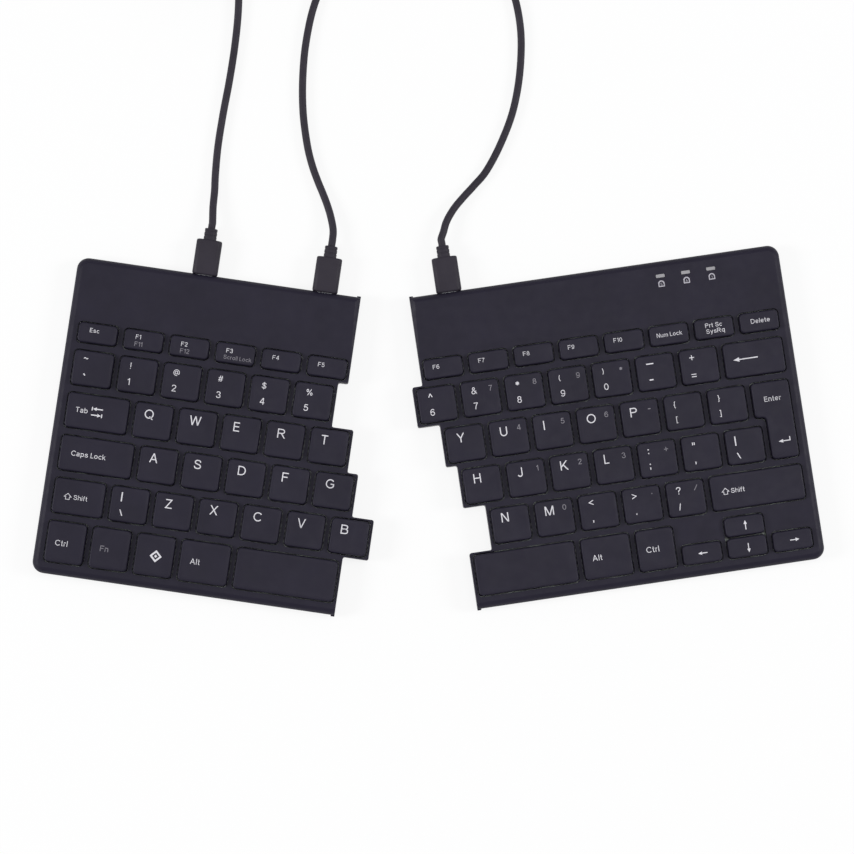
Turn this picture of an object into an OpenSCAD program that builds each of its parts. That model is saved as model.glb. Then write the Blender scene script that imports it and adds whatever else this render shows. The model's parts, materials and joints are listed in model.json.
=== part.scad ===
// Ergonomic split keyboard: two low halves with scissor keys, joined by a link lead.
// Millimetres. +X runs to the right half, +Y to the back, +Z up, and the desk is z = 0.
// Each half is drawn in its own frame: x from its outer edge inwards, y = 0 at its back edge and
// falling towards the user. The right half is drawn the same way and mirrored.

/* [Key grid] */
// Width of a letter key's place, between the centres of the gaps round it
key_w = 16.84; // [15:0.02:18]
// Depth of a letter key's place
key_d = 15.7; // [14:0.1:17]
// Web between neighbouring key places in a row
web = 2.16; // [1.8:0.02:3]
// Distance from one letter row to the next
row_pitch = 18.5; // [17.8:0.1:20]
// Width of a function key's place
fn_key_w = 17.4; // [15:0.1:18]
// Depth of a function key's or an arrow key's place
fn_key_d = 9.2; // [8.8:0.1:10]
// Web between the function keys of the left half
left_fn_web = 2.5; // [1.8:0.05:3]
// Web between the function keys of the right half
right_fn_web = 2.25; // [1.8:0.05:3]
// Gap in depth between the function keys and the number row
fn_row_gap = 2.8; // [2:0.1:5]
// Depth of the bottom row's places
bottom_key_d = 18.3; // [18:0.1:20]

/* [Wide keys] */
// Width of the outermost key of the left number row
corner_key_w = 17.64; // [15:0.02:22]
// Width of the tab key's place
tab_w = 27.14; // [22:0.02:30]
// Width of the caps lock key's place
caps_w = 31.89; // [26:0.01:36]
// Width of the left shift key's place
left_shift_w = 22.39; // [18:0.01:26]
// Width of the left ctrl, fn and system keys' places
ctrl_w = 17; // [15:0.1:18]
// Width of the left alt key's place
left_alt_w = 21.8; // [18:0.1:24]
// Width of the left space key's place
left_space_w = 44; // [36:0.1:46]
// Width of the backspace key's place
backspace_w = 26.5; // [22:0.1:30]
// Width of the enter key's upper part
enter_w = 17; // [15:0.05:20]
// Width of the enter key's lower part
enter_low_w = 12.25; // [11.5:0.05:14]
// Width of the right shift key's place
right_shift_w = 40.75; // [34:0.05:46]
// Width of an arrow key's place
arrow_w = 17.5; // [15:0.1:18]
// Width of the right ctrl key's place
right_ctrl_w = 16.8; // [15:0.1:18]
// Width of the right alt key's place
right_alt_w = 21.6; // [18:0.1:24]
// Width of the right space key's place
right_space_w = 43.9; // [36:0.1:46]

/* [Key caps] */
// Gap between a key and its window
key_gap = 0.4; // [0.3:0.05:0.6]
// Height of the key tops over the cover
key_proud = 1.8; // [1:0.1:2.4]
// Height of a key cap from skirt to top
key_skirt = 3.7; // [3.2:0.1:4]
// How far a key's sides lean in above the cover
key_draft = 0.35; // [0.2:0.05:0.8]
// Corner radius of a key
key_corner = 1.8; // [1:0.1:2.5]
// Thickness of a key's top
key_roof = 1.1; // [0.8:0.1:1.3]
// Thickness of a key's sides
key_wall = 1; // [0.7:0.05:1.1]

/* [Case] */
// Depth of each half from back to front
case_d = 136.9; // [134:0.1:150]
// Plain band behind the function keys
band_d = 27.6; // [26:0.1:34]
// Margin between the outer edge and the keys
side_margin = 4.6; // [3.5:0.1:6]
// Margin between the key places and the stepped inner edge, along a row
inner_margin = 1.2; // [1.1:0.05:1.6]
// Margin between the key places and the steps of the inner edge, across the rows
step_margin = 0.85; // [0.8:0.05:1.1]
// Radius of the outer corners
corner_r = 5; // [4:0.5:8]
// Radius of the steps' corners
step_r = 0.8; // [0.4:0.1:1]
// Height from the underside to the cover's top
case_h = 7; // [6.6:0.1:8]
// Height of the seam between case and cover over the underside
seam_h = 3; // [2.6:0.1:3.4]
// Radius of the cover's rounded rim
rim_r = 3.3; // [2:0.1:3.5]
// Chamfer round the underside
chamfer = 0.8; // [0.4:0.1:1]
// Thickness of the cover
cover_t = 1.3; // [1:0.1:1.5]
// Thickness of the floor
floor_t = 1.4; // [1.2:0.1:1.6]
// Thickness of the outer walls
wall_t = 1.2; // [1:0.1:1.5]
// Thickness of the stepped inner wall
inner_wall_t = 0.55; // [0.4:0.05:0.6]
// Width of the lip at the inner corners
lip_w = 1.6; // [1:0.1:2.5]
// How far the lip stands out past the back and front edges
lip_proud = 0.6; // [0.3:0.1:1]
// Height of the feet under the case
foot_h = 0.8; // [0.6:0.1:1.5]
// Length of a foot
foot_l = 24; // [12:1:28]
// Width of a foot
foot_w = 7; // [5:0.5:9]
// Depth of the feet's recesses
foot_recess = 0.5; // [0.3:0.1:0.6]
// Diameter of a screw's shank
screw_d = 2; // [1.6:0.1:2.2]
// Diameter of a screw's head
screw_head_d = 3.8; // [3:0.1:4]

/* [Switches] */
// Thickness of the support plate
plate_t = 0.5; // [0.4:0.05:0.6]
// Thickness of the membrane
membrane_t = 0.3; // [0.2:0.05:0.4]
// Height of the rubber domes
dome_h = 4.1; // [3.7:0.1:4.3]
// Radius of a dome's foot
dome_r = 2.9; // [2:0.1:3.1]
// Radius of a dome's foot under a half-height key
low_dome_r = 1.35; // [1.2:0.05:1.5]
// Thickness of a scissor frame's bars
bar = 0.8; // [0.6:0.05:0.9]
// Width of the outer scissor frame
scissor_w = 12; // [11:0.5:12]
// Distance from the front and back of a letter key's place to its scissor frames' ends
scissor_inset = 3.45; // [3.25:0.05:3.85]
// Distance from the front and back of a half-height key's place to its scissor frames' ends
low_inset = 2.5; // [2.4:0.05:2.6]
// Diameter of the stabiliser wires
wire_d = 0.8; // [0.6:0.1:1]
// Width from which a key has a stabiliser wire
wire_from_w = 26; // [24:1:30]

/* [Splay] */
// Angle between the halves
splay = 16.65; // [8:0.05:30]
// Distance from the back edges to the point that the halves turn about
pole_back = 68; // [60:0.1:80]
// Distance from the left half's back inner corner to the line through that point
pole_side = 0.85; // [0:0.05:3]
// Gap between the halves when they are pushed together
closed_gap = 1; // [0.8:0.1:3]

/* [Cords] */
// Diameter of the leads
cord_d = 3.2; // [2.6:0.1:3.4]
// Width of a data plug's grip
plug_w = 11; // [9.5:0.1:12]
// Thickness of a data plug's grip
plug_t = 6.2; // [5:0.1:6.4]
// Length of a data plug's grip
plug_l = 14.9; // [10:0.1:18]
// Length of a data plug's strain relief
boot_l = 5; // [3:0.1:8]
// Width of a data plug's strain relief
boot_w = 5.5; // [4:0.1:6.4]
// Width of a data plug's metal shell
shell_w = 8.3; // [8:0.05:8.3]
// Height of a data plug's metal shell
shell_h = 2.4; // [2.2:0.05:2.4]
// Height of the sockets' middle over the underside
socket_z = 3.5; // [3.4:0.1:3.8]
// Distance of the host socket from the left half's outer edge
host_socket_x = 54.7; // [45:0.1:60]
// Distance of the link socket from the left half's outer edge
left_link_x = 107; // [100:0.1:110]
// Distance of the link socket from the right half's outer edge
right_link_x = 143.4; // [130:0.1:146]
// Mean radius of the coil's turns
coil_r = 17.2; // [15:0.1:18.6]
// Turns in the coil
coil_turns = 12.25; // [8.25:1:16.25]
// Step between the coil's turns
coil_step = 3.7; // [3.65:0.05:4.2]
// Width of the host USB plug's grip
usb_w = 15.6; // [14:0.1:17]
// Thickness of the host USB plug's grip
usb_t = 7.6; // [7:0.1:8.5]
// Length of the host USB plug's grip
usb_l = 21; // [16:0.5:26]

/* [Status lights] */
// Distance of the outermost light from the right half's outer edge
light_x = 30.4; // [20:0.1:40]
// Distance between the lights
light_pitch = 11; // [8:0.1:14]
// Distance of the lights from the back edge
light_y = 6.5; // [5.5:0.1:8]
// Length of a light
light_l = 3.8; // [3:0.1:5]
// Width of a light
light_w = 1.4; // [1:0.1:2]

/* [Hidden] */
$fn = 32;

case_color = "#312e38";
key_color = "#35323c";
steel_color = "#a9abb0";
sheet_color = "#8d9a8f";
dome_color = "#c9c5bb";
frame_color = "#e4e2dc";
board_color = "#1f4a33";
rubber_color = "#232226";
cord_color = "#3c393e";
light_color = "#cfd3d6";

// Heights
case_z = foot_h;
floor_z = case_z + floor_t;
plate_z = floor_z + plate_t;
sheet_z = plate_z + membrane_t;
seam_z = case_z + seam_h;
cover_z = case_z + case_h;
roof_under = cover_z - cover_t;
key_z = cover_z + key_proud;
skirt_z = key_z - key_skirt;
key_under = key_z - key_roof;
dome_z = sheet_z + dome_h;
plug_z = case_z + socket_z;

// Small fits
overrun = 1;
seat_gap = 0.1;
fit_gap = 0.3;

// Rows of key places: back edge, depth, web, and widths from the outer edge inwards
function letters(n) = [for (i = [1 : n]) key_w];
function row_y(i) = -band_d - fn_key_d - fn_row_gap - i * row_pitch;
left_rows = [
  [-band_d, fn_key_d, left_fn_web, [for (i = [1 : 6]) fn_key_w]],
  [row_y(0), key_d, web, concat([corner_key_w], letters(5))],
  [row_y(1), key_d, web, concat([tab_w], letters(5))],
  [row_y(2), key_d, web, concat([caps_w], letters(5))],
  [row_y(3), key_d, web, concat([left_shift_w], letters(6))],
  [row_y(4), bottom_key_d, web, [ctrl_w, ctrl_w, ctrl_w, left_alt_w, left_space_w]]
];
right_rows = [
  [-band_d, fn_key_d, right_fn_web, [for (i = [1 : 8]) fn_key_w]],
  [row_y(0), key_d, web, concat([backspace_w], letters(7))],
  [row_y(1), key_d, web, concat([enter_w], letters(7))],
  [row_y(2), key_d, web, concat([enter_low_w], letters(7))],
  [row_y(3), key_d, web, concat([right_shift_w], letters(5))],
  [row_y(4), bottom_key_d, web,
    [arrow_w, arrow_w, arrow_w, right_ctrl_w, right_alt_w, right_space_w]]
];

// A key place is [x of its outer side, y of its back, width, depth]
function sum(v, n) = n == 0 ? 0 : v[n - 1] + sum(v, n - 1);
function place_x(row, i) = side_margin + sum(row[3], i) + i * row[2];
function place(row, i) = [place_x(row, i), row[0], row[3][i], row[1]];
function places(row, first = 0) = [for (i = [first : len(row[3]) - 1]) place(row, i)];
function all_places(rows) = [for (row = rows) each places(row)];
function row_end(row) = let (n = len(row[3])) place_x(row, n - 1) + row[3][n - 1];
function middle(p) = [p[0] + p[2] / 2, p[1] - p[3] / 2];

// The arrow keys and the enter key do not fill one plain place
low_shift = bottom_key_d - fn_key_d;
function lower(p) = [p[0], p[1] - low_shift, p[2], fn_key_d];
arrow_right = lower(place(right_rows[5], 0));
arrow_column = place(right_rows[5], 1);
arrow_down = lower(arrow_column);
arrow_up = [arrow_column[0], arrow_column[1], arrow_column[2], low_shift];
arrow_left = lower(place(right_rows[5], 2));
enter_top = place(right_rows[2], 0);
enter_low = [enter_top[0], enter_top[1], enter_low_w, row_pitch + key_d];

left_keys = all_places(left_rows);
right_keys = concat(
  places(right_rows[0]), places(right_rows[1]), places(right_rows[2], 1),
  places(right_rows[3], 1), places(right_rows[4]), places(right_rows[5], 3),
  [enter_low, arrow_left, arrow_up, arrow_down, arrow_right]
);

// Stepped outline of a half, drawn in by its outer and inner walls
function inner_x(row) = row_end(row) + inner_margin;
function step_y(a, b, inset) =
  row_end(b) > row_end(a) ? b[0] + step_margin - inset : a[0] - a[1] - step_margin + inset;
function outline(rows, out_t = 0, in_t = 0) =
  let (n = len(rows) - 1)
  concat(
    [[out_t, -out_t], [inner_x(rows[0]) - in_t, -out_t]],
    [for (i = [0 : n - 1]) each [
      [inner_x(rows[i]) - in_t, step_y(rows[i], rows[i + 1], in_t)],
      [inner_x(rows[i + 1]) - in_t, step_y(rows[i], rows[i + 1], in_t)]
    ]],
    [[inner_x(rows[n]) - in_t, -case_d + out_t], [out_t, -case_d + out_t]]
  );

// Rounding for outlines whose corners are all square
function unit(v) = v / norm(v);
function corner(p, q, s, r, steps) =
  let (u = unit(p - q), v = unit(s - q), c = q + r * (u + v))
  [for (k = [0 : steps]) let (a = 90 * k / steps) c - r * (v * cos(a) + u * sin(a))];
function corner_steps(r) = r > 3 ? 8 : r > 1 ? 3 : 2;
function rounded(pts, radii) =
  let (n = len(pts))
  [for (i = [0 : n - 1])
    each corner(pts[(i + n - 1) % n], pts[i], pts[(i + 1) % n], radii[i], corner_steps(radii[i]))];
function end_r(h) = 0.45 * h;
function half_outline(rows, out_t = 0, in_t = 0) =
  let (pts = outline(rows, out_t, in_t), n = len(pts))
  rounded(pts, [for (i = [0 : n - 1]) i == 0 || i == n - 1 ? corner_r - out_t : step_r]);
function box_loop(p, grow, r) =
  let (x0 = p[0] - grow, x1 = p[0] + p[2] + grow, y0 = p[1] + grow, y1 = p[1] - p[3] - grow)
  rounded([[x0, y0], [x1, y0], [x1, y1], [x0, y1]], [r, r, r, r]);
function enter_loop(grow, r) =
  let (t = enter_top, l = enter_low, x0 = t[0] - grow, x1 = t[0] + t[2] + grow,
    x2 = l[0] + l[2] + grow, y0 = t[1] + grow, y1 = t[1] - t[3] - grow, y2 = l[1] - l[3] - grow)
  rounded([[x0, y0], [x1, y0], [x1, y1], [x2, y1], [x2, y2], [x0, y2]], [for (i = [1 : 6]) r]);

light_r = 0.3;
function light_place(i) =
  [light_x + i * light_pitch - light_l / 2, -light_y + light_w / 2, light_l, light_w];
function light_loop(i, grow) = box_loop(light_place(i), grow, light_r);
window_r = key_corner + key_gap / 2;
left_windows = [for (p = left_keys) box_loop(p, key_gap / 2, window_r)];
right_windows = concat(
  [for (i = [0, 1, 4]) each [for (p = places(right_rows[i])) box_loop(p, key_gap / 2, window_r)]],
  [for (i = [2, 3]) each [for (p = places(right_rows[i], 1)) box_loop(p, key_gap / 2, window_r)]],
  [for (p = concat(places(right_rows[5], 3), [arrow_left, arrow_column, arrow_right]))
    box_loop(p, key_gap / 2, window_r)],
  [enter_loop(key_gap / 2, window_r)],
  [for (i = [0 : 2]) light_loop(i, seat_gap)]
);

// Where the halves stand: both turn about one point behind them, and the origin is under the
// middle of the box round both
closed_w = inner_x(left_rows[2]) + inner_x(right_rows[2]) + closed_gap;
pole_x = inner_x(left_rows[0]) + pole_side;
function turned(p, a) = [cos(a) * p[0] - sin(a) * p[1], sin(a) * p[0] + cos(a) * p[1]];
function left_turned(p) = turned([p[0] - pole_x, p[1] - pole_back], -splay / 2);
function right_turned(p) = turned([closed_w - p[0] - pole_x, p[1] - pole_back], splay / 2);
back_corner = [corner_r, -corner_r];
front_corner = [corner_r, corner_r - case_d];
function front_tip(rows) = [inner_x(rows[5]), -case_d - lip_proud];
box_low = [
  left_turned(front_corner)[0] - corner_r,
  min(left_turned(front_tip(left_rows))[1], right_turned(front_tip(right_rows))[1])
];
box_high = [
  right_turned(front_corner)[0] + corner_r,
  max(left_turned(back_corner)[1], right_turned(back_corner)[1]) + corner_r
];
pole = -(box_low + box_high) / 2;
function left_point(p) = pole + left_turned(p);
function right_point(p) = pole + right_turned(p);

// Fasteners and feet of a half
post_r = 2.2;
pad_wall = 1;
post_inset = 10;
post_ahead = 4.6;
post_row_y = post_ahead - band_d;
head_h = 1;
pad_h = 2.2;
screw_l = 5;
function posts(rows) =
  let (x = inner_x(rows[0]))
  [[post_inset, -post_inset], [post_inset, post_row_y], [x / 2, post_row_y],
    [x - post_inset / 2, post_row_y]];
foot_inset = 5;
foot_side = 14;
function feet_at(rows) =
  let (x = min(inner_x(rows[0]), inner_x(rows[5])))
  [for (fx = [foot_inset + foot_side, x - foot_inset - foot_l],
    fy = [-foot_inset, foot_inset + foot_w - case_d]) [fx, fy, foot_l, foot_w]];
tongue_l = 8;
tongue_t = 1;
tongue_h = 1.4;
tongue_spots = [0.2, 0.5, 0.8];
function tongues_at(rows) = tongue_spots * inner_x(rows[5]);

// Plate and membrane lie under the keys, clear of the walls and of the cover's tongues
tray_gap = 0.4;
tray_back = 1.4;
tray_front = wall_t + seat_gap + tongue_t + fit_gap;
function tray_y(y, i, n) = i < 2 ? tray_back - band_d : i < n - 2 ? y : tray_front - case_d;
function tray_outline(rows) =
  let (pts = outline(rows, wall_t + tray_gap, inner_wall_t + tray_gap), n = len(pts))
  rounded([for (i = [0 : n - 1]) [pts[i][0], tray_y(pts[i][1], i, n)]],
    [for (i = [0 : n - 1]) i == n - 1 ? corner_r - wall_t : step_r / 2]);

// Scissor frames: a key that is short one way has the short pair, laid that way
low_below = 13.5;
scissor_reach = key_d / 2 - scissor_inset;
low_reach = fn_key_d / 2 - low_inset;
function is_low(p) = min(p[2], p[3]) < low_below;
function unit_turn(p) = is_low(p) && p[2] < p[3] ? 90 : 0;
function reach(p) = is_low(p) ? low_reach : scissor_reach;
hook_t = 0.4;
hook_w = 4;
hook_h = 1.5;
hook_gap = 0.15;
function hook_y(p) = reach(p) + bar / 2 + hook_gap;
function hook_loop(p, s, grow) =
  let (m = middle(p), t = unit_turn(p), y = s * (hook_y(p) + hook_t / 2))
  [for (q = [[-1, -1], [1, -1], [1, 1], [-1, 1]])
    m + turned([q[0] * (hook_w / 2 + grow), y + q[1] * (hook_t / 2 + grow)], t)];

// Routes of the leads: the points are in the part's frame, and follow on from the plugs
lie_z = cord_d / 2 + seat_gap;
coil_lift = 1.1;
host_exit = left_point([host_socket_x, fit_gap + plug_l + boot_l]);
left_exit = left_point([left_link_x, fit_gap + plug_l + boot_l]);
right_exit = right_point([right_link_x, fit_gap + plug_l + boot_l]);
left_heading = turned([0, 1], -splay / 2);
right_heading = turned([0, 1], splay / 2);
function raised(p, z) = [p[0], p[1], z];
function straight_end(exit, heading) =
  [for (k = [0 : 2]) raised(exit + k * cord_d / 2 * heading, plug_z)];
coil_middle = [-104.8, 216];
host_route = [
  [-93.05, 97, 3.5], [-92.45, 104, 2.5], [-92.1, 112, 1.9], [-91, 124, lie_z],
  [-88.8, 138, lie_z], [-86.2, 152, lie_z], [-83.9, 167, lie_z], [-82.4, 182, 1.9],
  [-82, 198, 2.5]
];
link_route_left = [
  [-41.2, 86.8, 3.9], [-42.1, 92.1, 3.2], [-43.6, 97.4, 2.5], [-45.5, 102.6, 1.9],
  [-47.7, 108, lie_z], [-50.2, 115, lie_z], [-52.4, 124, lie_z], [-54.2, 138, lie_z],
  [-54.4, 153, lie_z], [-53, 169, lie_z], [-49.2, 186, lie_z], [-42, 202, lie_z],
  [-29.5, 216, lie_z]
];
link_route_right = [
  [-11, 223.5, lie_z], [9, 221.5, lie_z], [25, 211, lie_z], [35.5, 195, lie_z], [40, 177, lie_z],
  [40, 158, lie_z], [37, 140, lie_z], [31.5, 125, lie_z], [25.2, 113, lie_z], [19.7, 106.4, 1.9],
  [15, 101.2, 2.4], [10.9, 96.1, 3.1], [7.8, 90.6, 3.8], [6.5, 86.2, 4.1]
];

// Smooth tube along points, with a level side vector at each ring
function spline(p, k, t) =
  let (n = len(p) - 1, a = p[max(k - 1, 0)], b = p[k], c = p[min(k + 1, n)], d = p[min(k + 2, n)])
  0.5 * (2 * b + (c - a) * t + (2 * a - 5 * b + 4 * c - d) * t * t
    + (3 * b - a - 3 * c + d) * t * t * t);
function smooth(p, cuts) =
  concat([for (k = [0 : len(p) - 2], j = [0 : cuts - 1]) spline(p, k, j / cuts)], [p[len(p) - 1]]);
function tangent(p, i) = unit(p[min(i + 1, len(p) - 1)] - p[max(i - 1, 0)]);
function ring(c, t, r, sides) =
  let (s = unit(cross(t, [0, 0, 1])), u = cross(s, t))
  [for (k = [0 : sides - 1]) let (a = 360 * k / sides) c + r * (s * cos(a) + u * sin(a))];
function side_faces(n, m) =
  [for (i = [0 : n - 2], k = [0 : m - 1]) let (a = i * m + k, b = i * m + (k + 1) % m)
    each [[a, b, b + m], [a, b + m, a + m]]];
function cap_faces(n, m) =
  [for (k = [1 : m - 2]) each [[0, k + 1, k], [(n - 1) * m, (n - 1) * m + k, (n - 1) * m + k + 1]]];
lead_sides = 8;
coil_sides = 6;
module tube(p, sides) {
  n = len(p);
  polyhedron(
    points = [for (i = [0 : n - 1]) each ring(p[i], tangent(p, i), cord_d / 2, sides)],
    faces = concat(side_faces(n, sides), cap_faces(n, sides))
  );
}

// Coil of layers that spiral in and out by turns, and climb a layer where the spiral reverses
coil_layers = 4;
coil_rings = 24;
layer_turns = coil_turns / coil_layers;
coil_span = layer_turns * coil_step;
function ease(t) = let (c = min(max(t, 0), 1)) c * c * (3 - 2 * c);
function coil_climb(t) =
  sum([for (i = [1 : coil_layers - 1]) ease(2 * (t - i * layer_turns) + 0.5)], coil_layers - 1);
function coil_radius(t) =
  let (layer = min(floor(t / layer_turns), coil_layers - 1), f = t / layer_turns - layer,
    inward = layer % 2 == 0)
  coil_r + coil_span * (inward ? 0.5 - f : f - 0.5);
function coil_at(t) =
  let (r = coil_radius(t))
  [coil_middle[0] + r * cos(360 * t), coil_middle[1] + r * sin(360 * t),
    lie_z + coil_lift + coil_step * coil_climb(t)];
coil_points = [for (i = [0 : coil_turns * coil_rings]) coil_at(i / coil_rings)];
coil_end = coil_points[len(coil_points) - 1];
usb_z = usb_t / 2 + seat_gap;
usb_boot_l = 7;
usb_boot_w = 6;
usb_run = 40;
usb_side = 2;
usb_at = [coil_end[0] - usb_run, coil_end[1] - usb_side, usb_z];
tail_points = [
  coil_end + [-7, 0, -0.3], coil_end + [-13, -0.2, -1.8], coil_end + [-19, -0.9, -4.7],
  coil_end + [-25, -1.6, -7.8], coil_end + [-30, -1.9, -9.5],
  usb_at + [2 * cord_d, 0, 0], usb_at + [cord_d, 0, 0], usb_at
];
coil_lead_in = [coil_points[0] - [0, 2 * cord_d, 0], coil_points[0] - [0, cord_d, 0]];
// Least distance between points of the coil that are half a turn or more apart along it
coil_count = len(coil_points);
coil_gap = min([for (i = [0 : 2 : coil_count - 1], j = [i + coil_rings / 2 : 1 : coil_count - 1])
  norm(coil_points[i] - coil_points[j])]) - cord_d;
echo(coil_gap = coil_gap);

// Builders
module on_left() {
  translate([pole[0], pole[1], 0]) rotate(-splay / 2)
    translate([-pole_x, -pole_back, 0]) children();
}
module on_right() {
  translate([pole[0], pole[1], 0]) rotate(splay / 2)
    translate([closed_w - pole_x, -pole_back, 0]) mirror([1, 0, 0]) children();
}
module sheet(outer, holes = []) {
  starts = [for (i = 0, s = len(outer); i < len(holes); s = s + len(holes[i]), i = i + 1) s];
  polygon(
    points = concat(outer, [for (h = holes) each h]),
    paths = concat([[for (k = [0 : len(outer) - 1]) k]],
      [for (i = [0 : 1 : len(holes) - 1]) [for (k = [0 : len(holes[i]) - 1]) starts[i] + k]])
  );
}
module slab(z0, z1) {
  translate([0, 0, z0]) linear_extrude(z1 - z0) children();
}
module at_middle(p) {
  translate([middle(p)[0], middle(p)[1], 0]) children();
}
function block(w, h) = [[-w / 2, -h / 2], [w / 2, -h / 2], [w / 2, h / 2], [-w / 2, h / 2]];
function pill(w, h, r) = rounded(block(w, h), [r, r, r, r]);
// Extrusion along y from y0 to y1 of a profile drawn in x and z
module along_y(y0, y1) {
  translate([0, y1, 0]) rotate([90, 0, 0]) linear_extrude(y1 - y0) children();
}

// Cutter that runs round the outer rim: the profile's corner is at its origin, outwards is +x
module rim_cut(rows) {
  x_end = inner_x(rows[0]) + inner_x(rows[5]);
  for (y = [-corner_r, corner_r - case_d])
    translate([corner_r, y, 0]) rotate(y == -corner_r ? 90 : 180)
      rotate_extrude(angle = 90) translate([corner_r, 0]) children();
  translate([0, -corner_r, 0]) rotate([90, 0, 0])
    linear_extrude(case_d - 2 * corner_r) mirror([1, 0]) children();
  translate([corner_r, 0, 0]) rotate([90, 0, 90]) linear_extrude(x_end) children();
  translate([corner_r, -case_d, 0]) rotate([90, 0, 90])
    linear_extrude(x_end) mirror([1, 0]) children();
}
// The rim's arc stands a little proud of both faces, so that it meets them at a soft edge
rim_ease = 0.08;
module round_over() {
  translate([-rim_r, -rim_r]) difference() {
    square(rim_r + overrun);
    circle(rim_r + rim_ease);
  }
}
module bevel() {
  polygon([[-chamfer - overrun, -overrun], [overrun, chamfer + overrun], [overrun, -overrun]]);
}
socket_t = 0.25;
socket_w = shell_w + 2 * socket_t + 2 * seat_gap;
socket_h = shell_h + 2 * socket_t + 2 * seat_gap;
module socket_opening(x) {
  translate([x, 0, plug_z]) along_y(-2 * wall_t, overrun)
    polygon(pill(socket_w + 2 * seat_gap, socket_h + 2 * seat_gap, end_r(socket_h)));
}

module bottom_case(rows, sockets) {
  inner = half_outline(rows, wall_t, inner_wall_t);
  color(case_color) difference() {
    union() {
      slab(case_z, floor_z) polygon(half_outline(rows));
      slab(case_z, seam_z) sheet(half_outline(rows), [inner]);
      for (p = posts(rows)) translate([p[0], p[1], case_z]) cylinder(r = post_r + pad_wall, h = pad_h);
      slab(case_z + chamfer, seam_z) {
        lip(inner_x(rows[0]), -lip_w);
        lip(inner_x(rows[5]), -case_d - lip_proud);
      }
    }
    translate([0, 0, case_z]) rim_cut(rows) bevel();
    for (p = posts(rows)) translate([p[0], p[1], case_z - overrun]) {
      cylinder(d = screw_head_d + 2 * seat_gap, h = overrun + head_h + seat_gap);
      cylinder(d = screw_d + 2 * seat_gap, h = overrun + 2 * pad_h);
    }
    for (p = feet_at(rows)) slab(case_z - overrun, case_z + foot_recess)
      polygon(box_loop(p, seat_gap, end_r(foot_w)));
    for (x = sockets) socket_opening(x);
  }
}
module lip(x, y) {
  translate([x - lip_w, y]) square([lip_w, lip_w + lip_proud]);
}

module top_cover(rows, windows, sockets) {
  inner = half_outline(rows, wall_t, inner_wall_t);
  color(case_color) difference() {
    union() {
      slab(roof_under, cover_z) sheet(half_outline(rows), windows);
      slab(seam_z, roof_under) sheet(half_outline(rows), [inner]);
      for (p = posts(rows)) translate([p[0], p[1], case_z + pad_h])
        cylinder(r = post_r, h = roof_under - case_z - pad_h);
      for (x = tongues_at(rows))
        translate([x - tongue_l / 2, wall_t + seat_gap - case_d, seam_z - tongue_h])
          cube([tongue_l, tongue_t, roof_under - seam_z + tongue_h]);
    }
    translate([0, 0, cover_z]) rim_cut(rows) round_over();
    for (p = posts(rows)) translate([p[0], p[1], case_z])
      cylinder(d = screw_d, h = screw_l + fit_gap);
    for (x = sockets) socket_opening(x);
    inner_bevel(rows);
  }
}
// Bevel along the inner edge of the plain band, widest at the back
bevel_w = 2.2;
bevel_turn = 3.7;
bevel_slope = 28;
module inner_bevel(rows) {
  translate([inner_x(rows[0]) - bevel_w, 0, cover_z]) rotate(bevel_turn) rotate([0, bevel_slope, 0])
    translate([0, -band_d - fn_key_d, 0]) cube([2 * bevel_w, band_d + 2 * fn_key_d, 2 * bevel_w]);
}

module screws(rows) {
  color(steel_color) for (p = posts(rows)) translate([p[0], p[1], case_z + seat_gap]) {
    cylinder(d = screw_head_d, h = head_h - seat_gap);
    cylinder(d = screw_d - seat_gap, h = screw_l);
  }
}
module feet(rows) {
  color(rubber_color) for (p = feet_at(rows))
    slab(0, case_z + foot_recess) polygon(box_loop(p, 0, end_r(foot_w)));
}

module support_plate(rows, keys) {
  color(steel_color) {
    slab(floor_z, plate_z) polygon(tray_outline(rows));
    for (p = keys, s = [-1, 1]) slab(floor_z, plate_z + hook_h) polygon(hook_loop(p, s, 0));
  }
}
module membrane(rows, keys, tail_x) {
  tail = [[tail_x - tail_w / 2, tray_back - band_d], [tail_x - tail_w / 2, tail_y],
    [tail_x + tail_w / 2, tail_y], [tail_x + tail_w / 2, tray_back - band_d]];
  edge = tray_outline(rows);
  color(sheet_color) slab(plate_z, sheet_z) {
    sheet(edge, [for (p = keys, s = [-1, 1]) hook_loop(p, s, seat_gap)]);
    polygon(tail);
  }
}
tail_w = 14;
tail_l = 8.8;
tail_y = tray_back - band_d + tail_l;

stem_r = 1.5;
low_stem_r = 1.05;
function key_stem_r(p) = is_low(p) ? low_stem_r : stem_r;
dome_wall = 0.45;
dome_neck = 1;
module domes(keys) {
  color(dome_color) for (p = keys)
    at_middle(p) dome(is_low(p) ? low_dome_r : dome_r, key_stem_r(p));
}
module dome(foot, top) {
  ceiling = dome_h - dome_neck - dome_wall;
  translate([0, 0, sheet_z]) rotate_extrude() polygon([
    [foot - dome_wall, 0], [foot, 0], [foot, dome_wall], [top, dome_h - dome_neck], [top, dome_h],
    [0, dome_h], [0, ceiling], [top - dome_wall, ceiling]
  ]);
}

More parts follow.
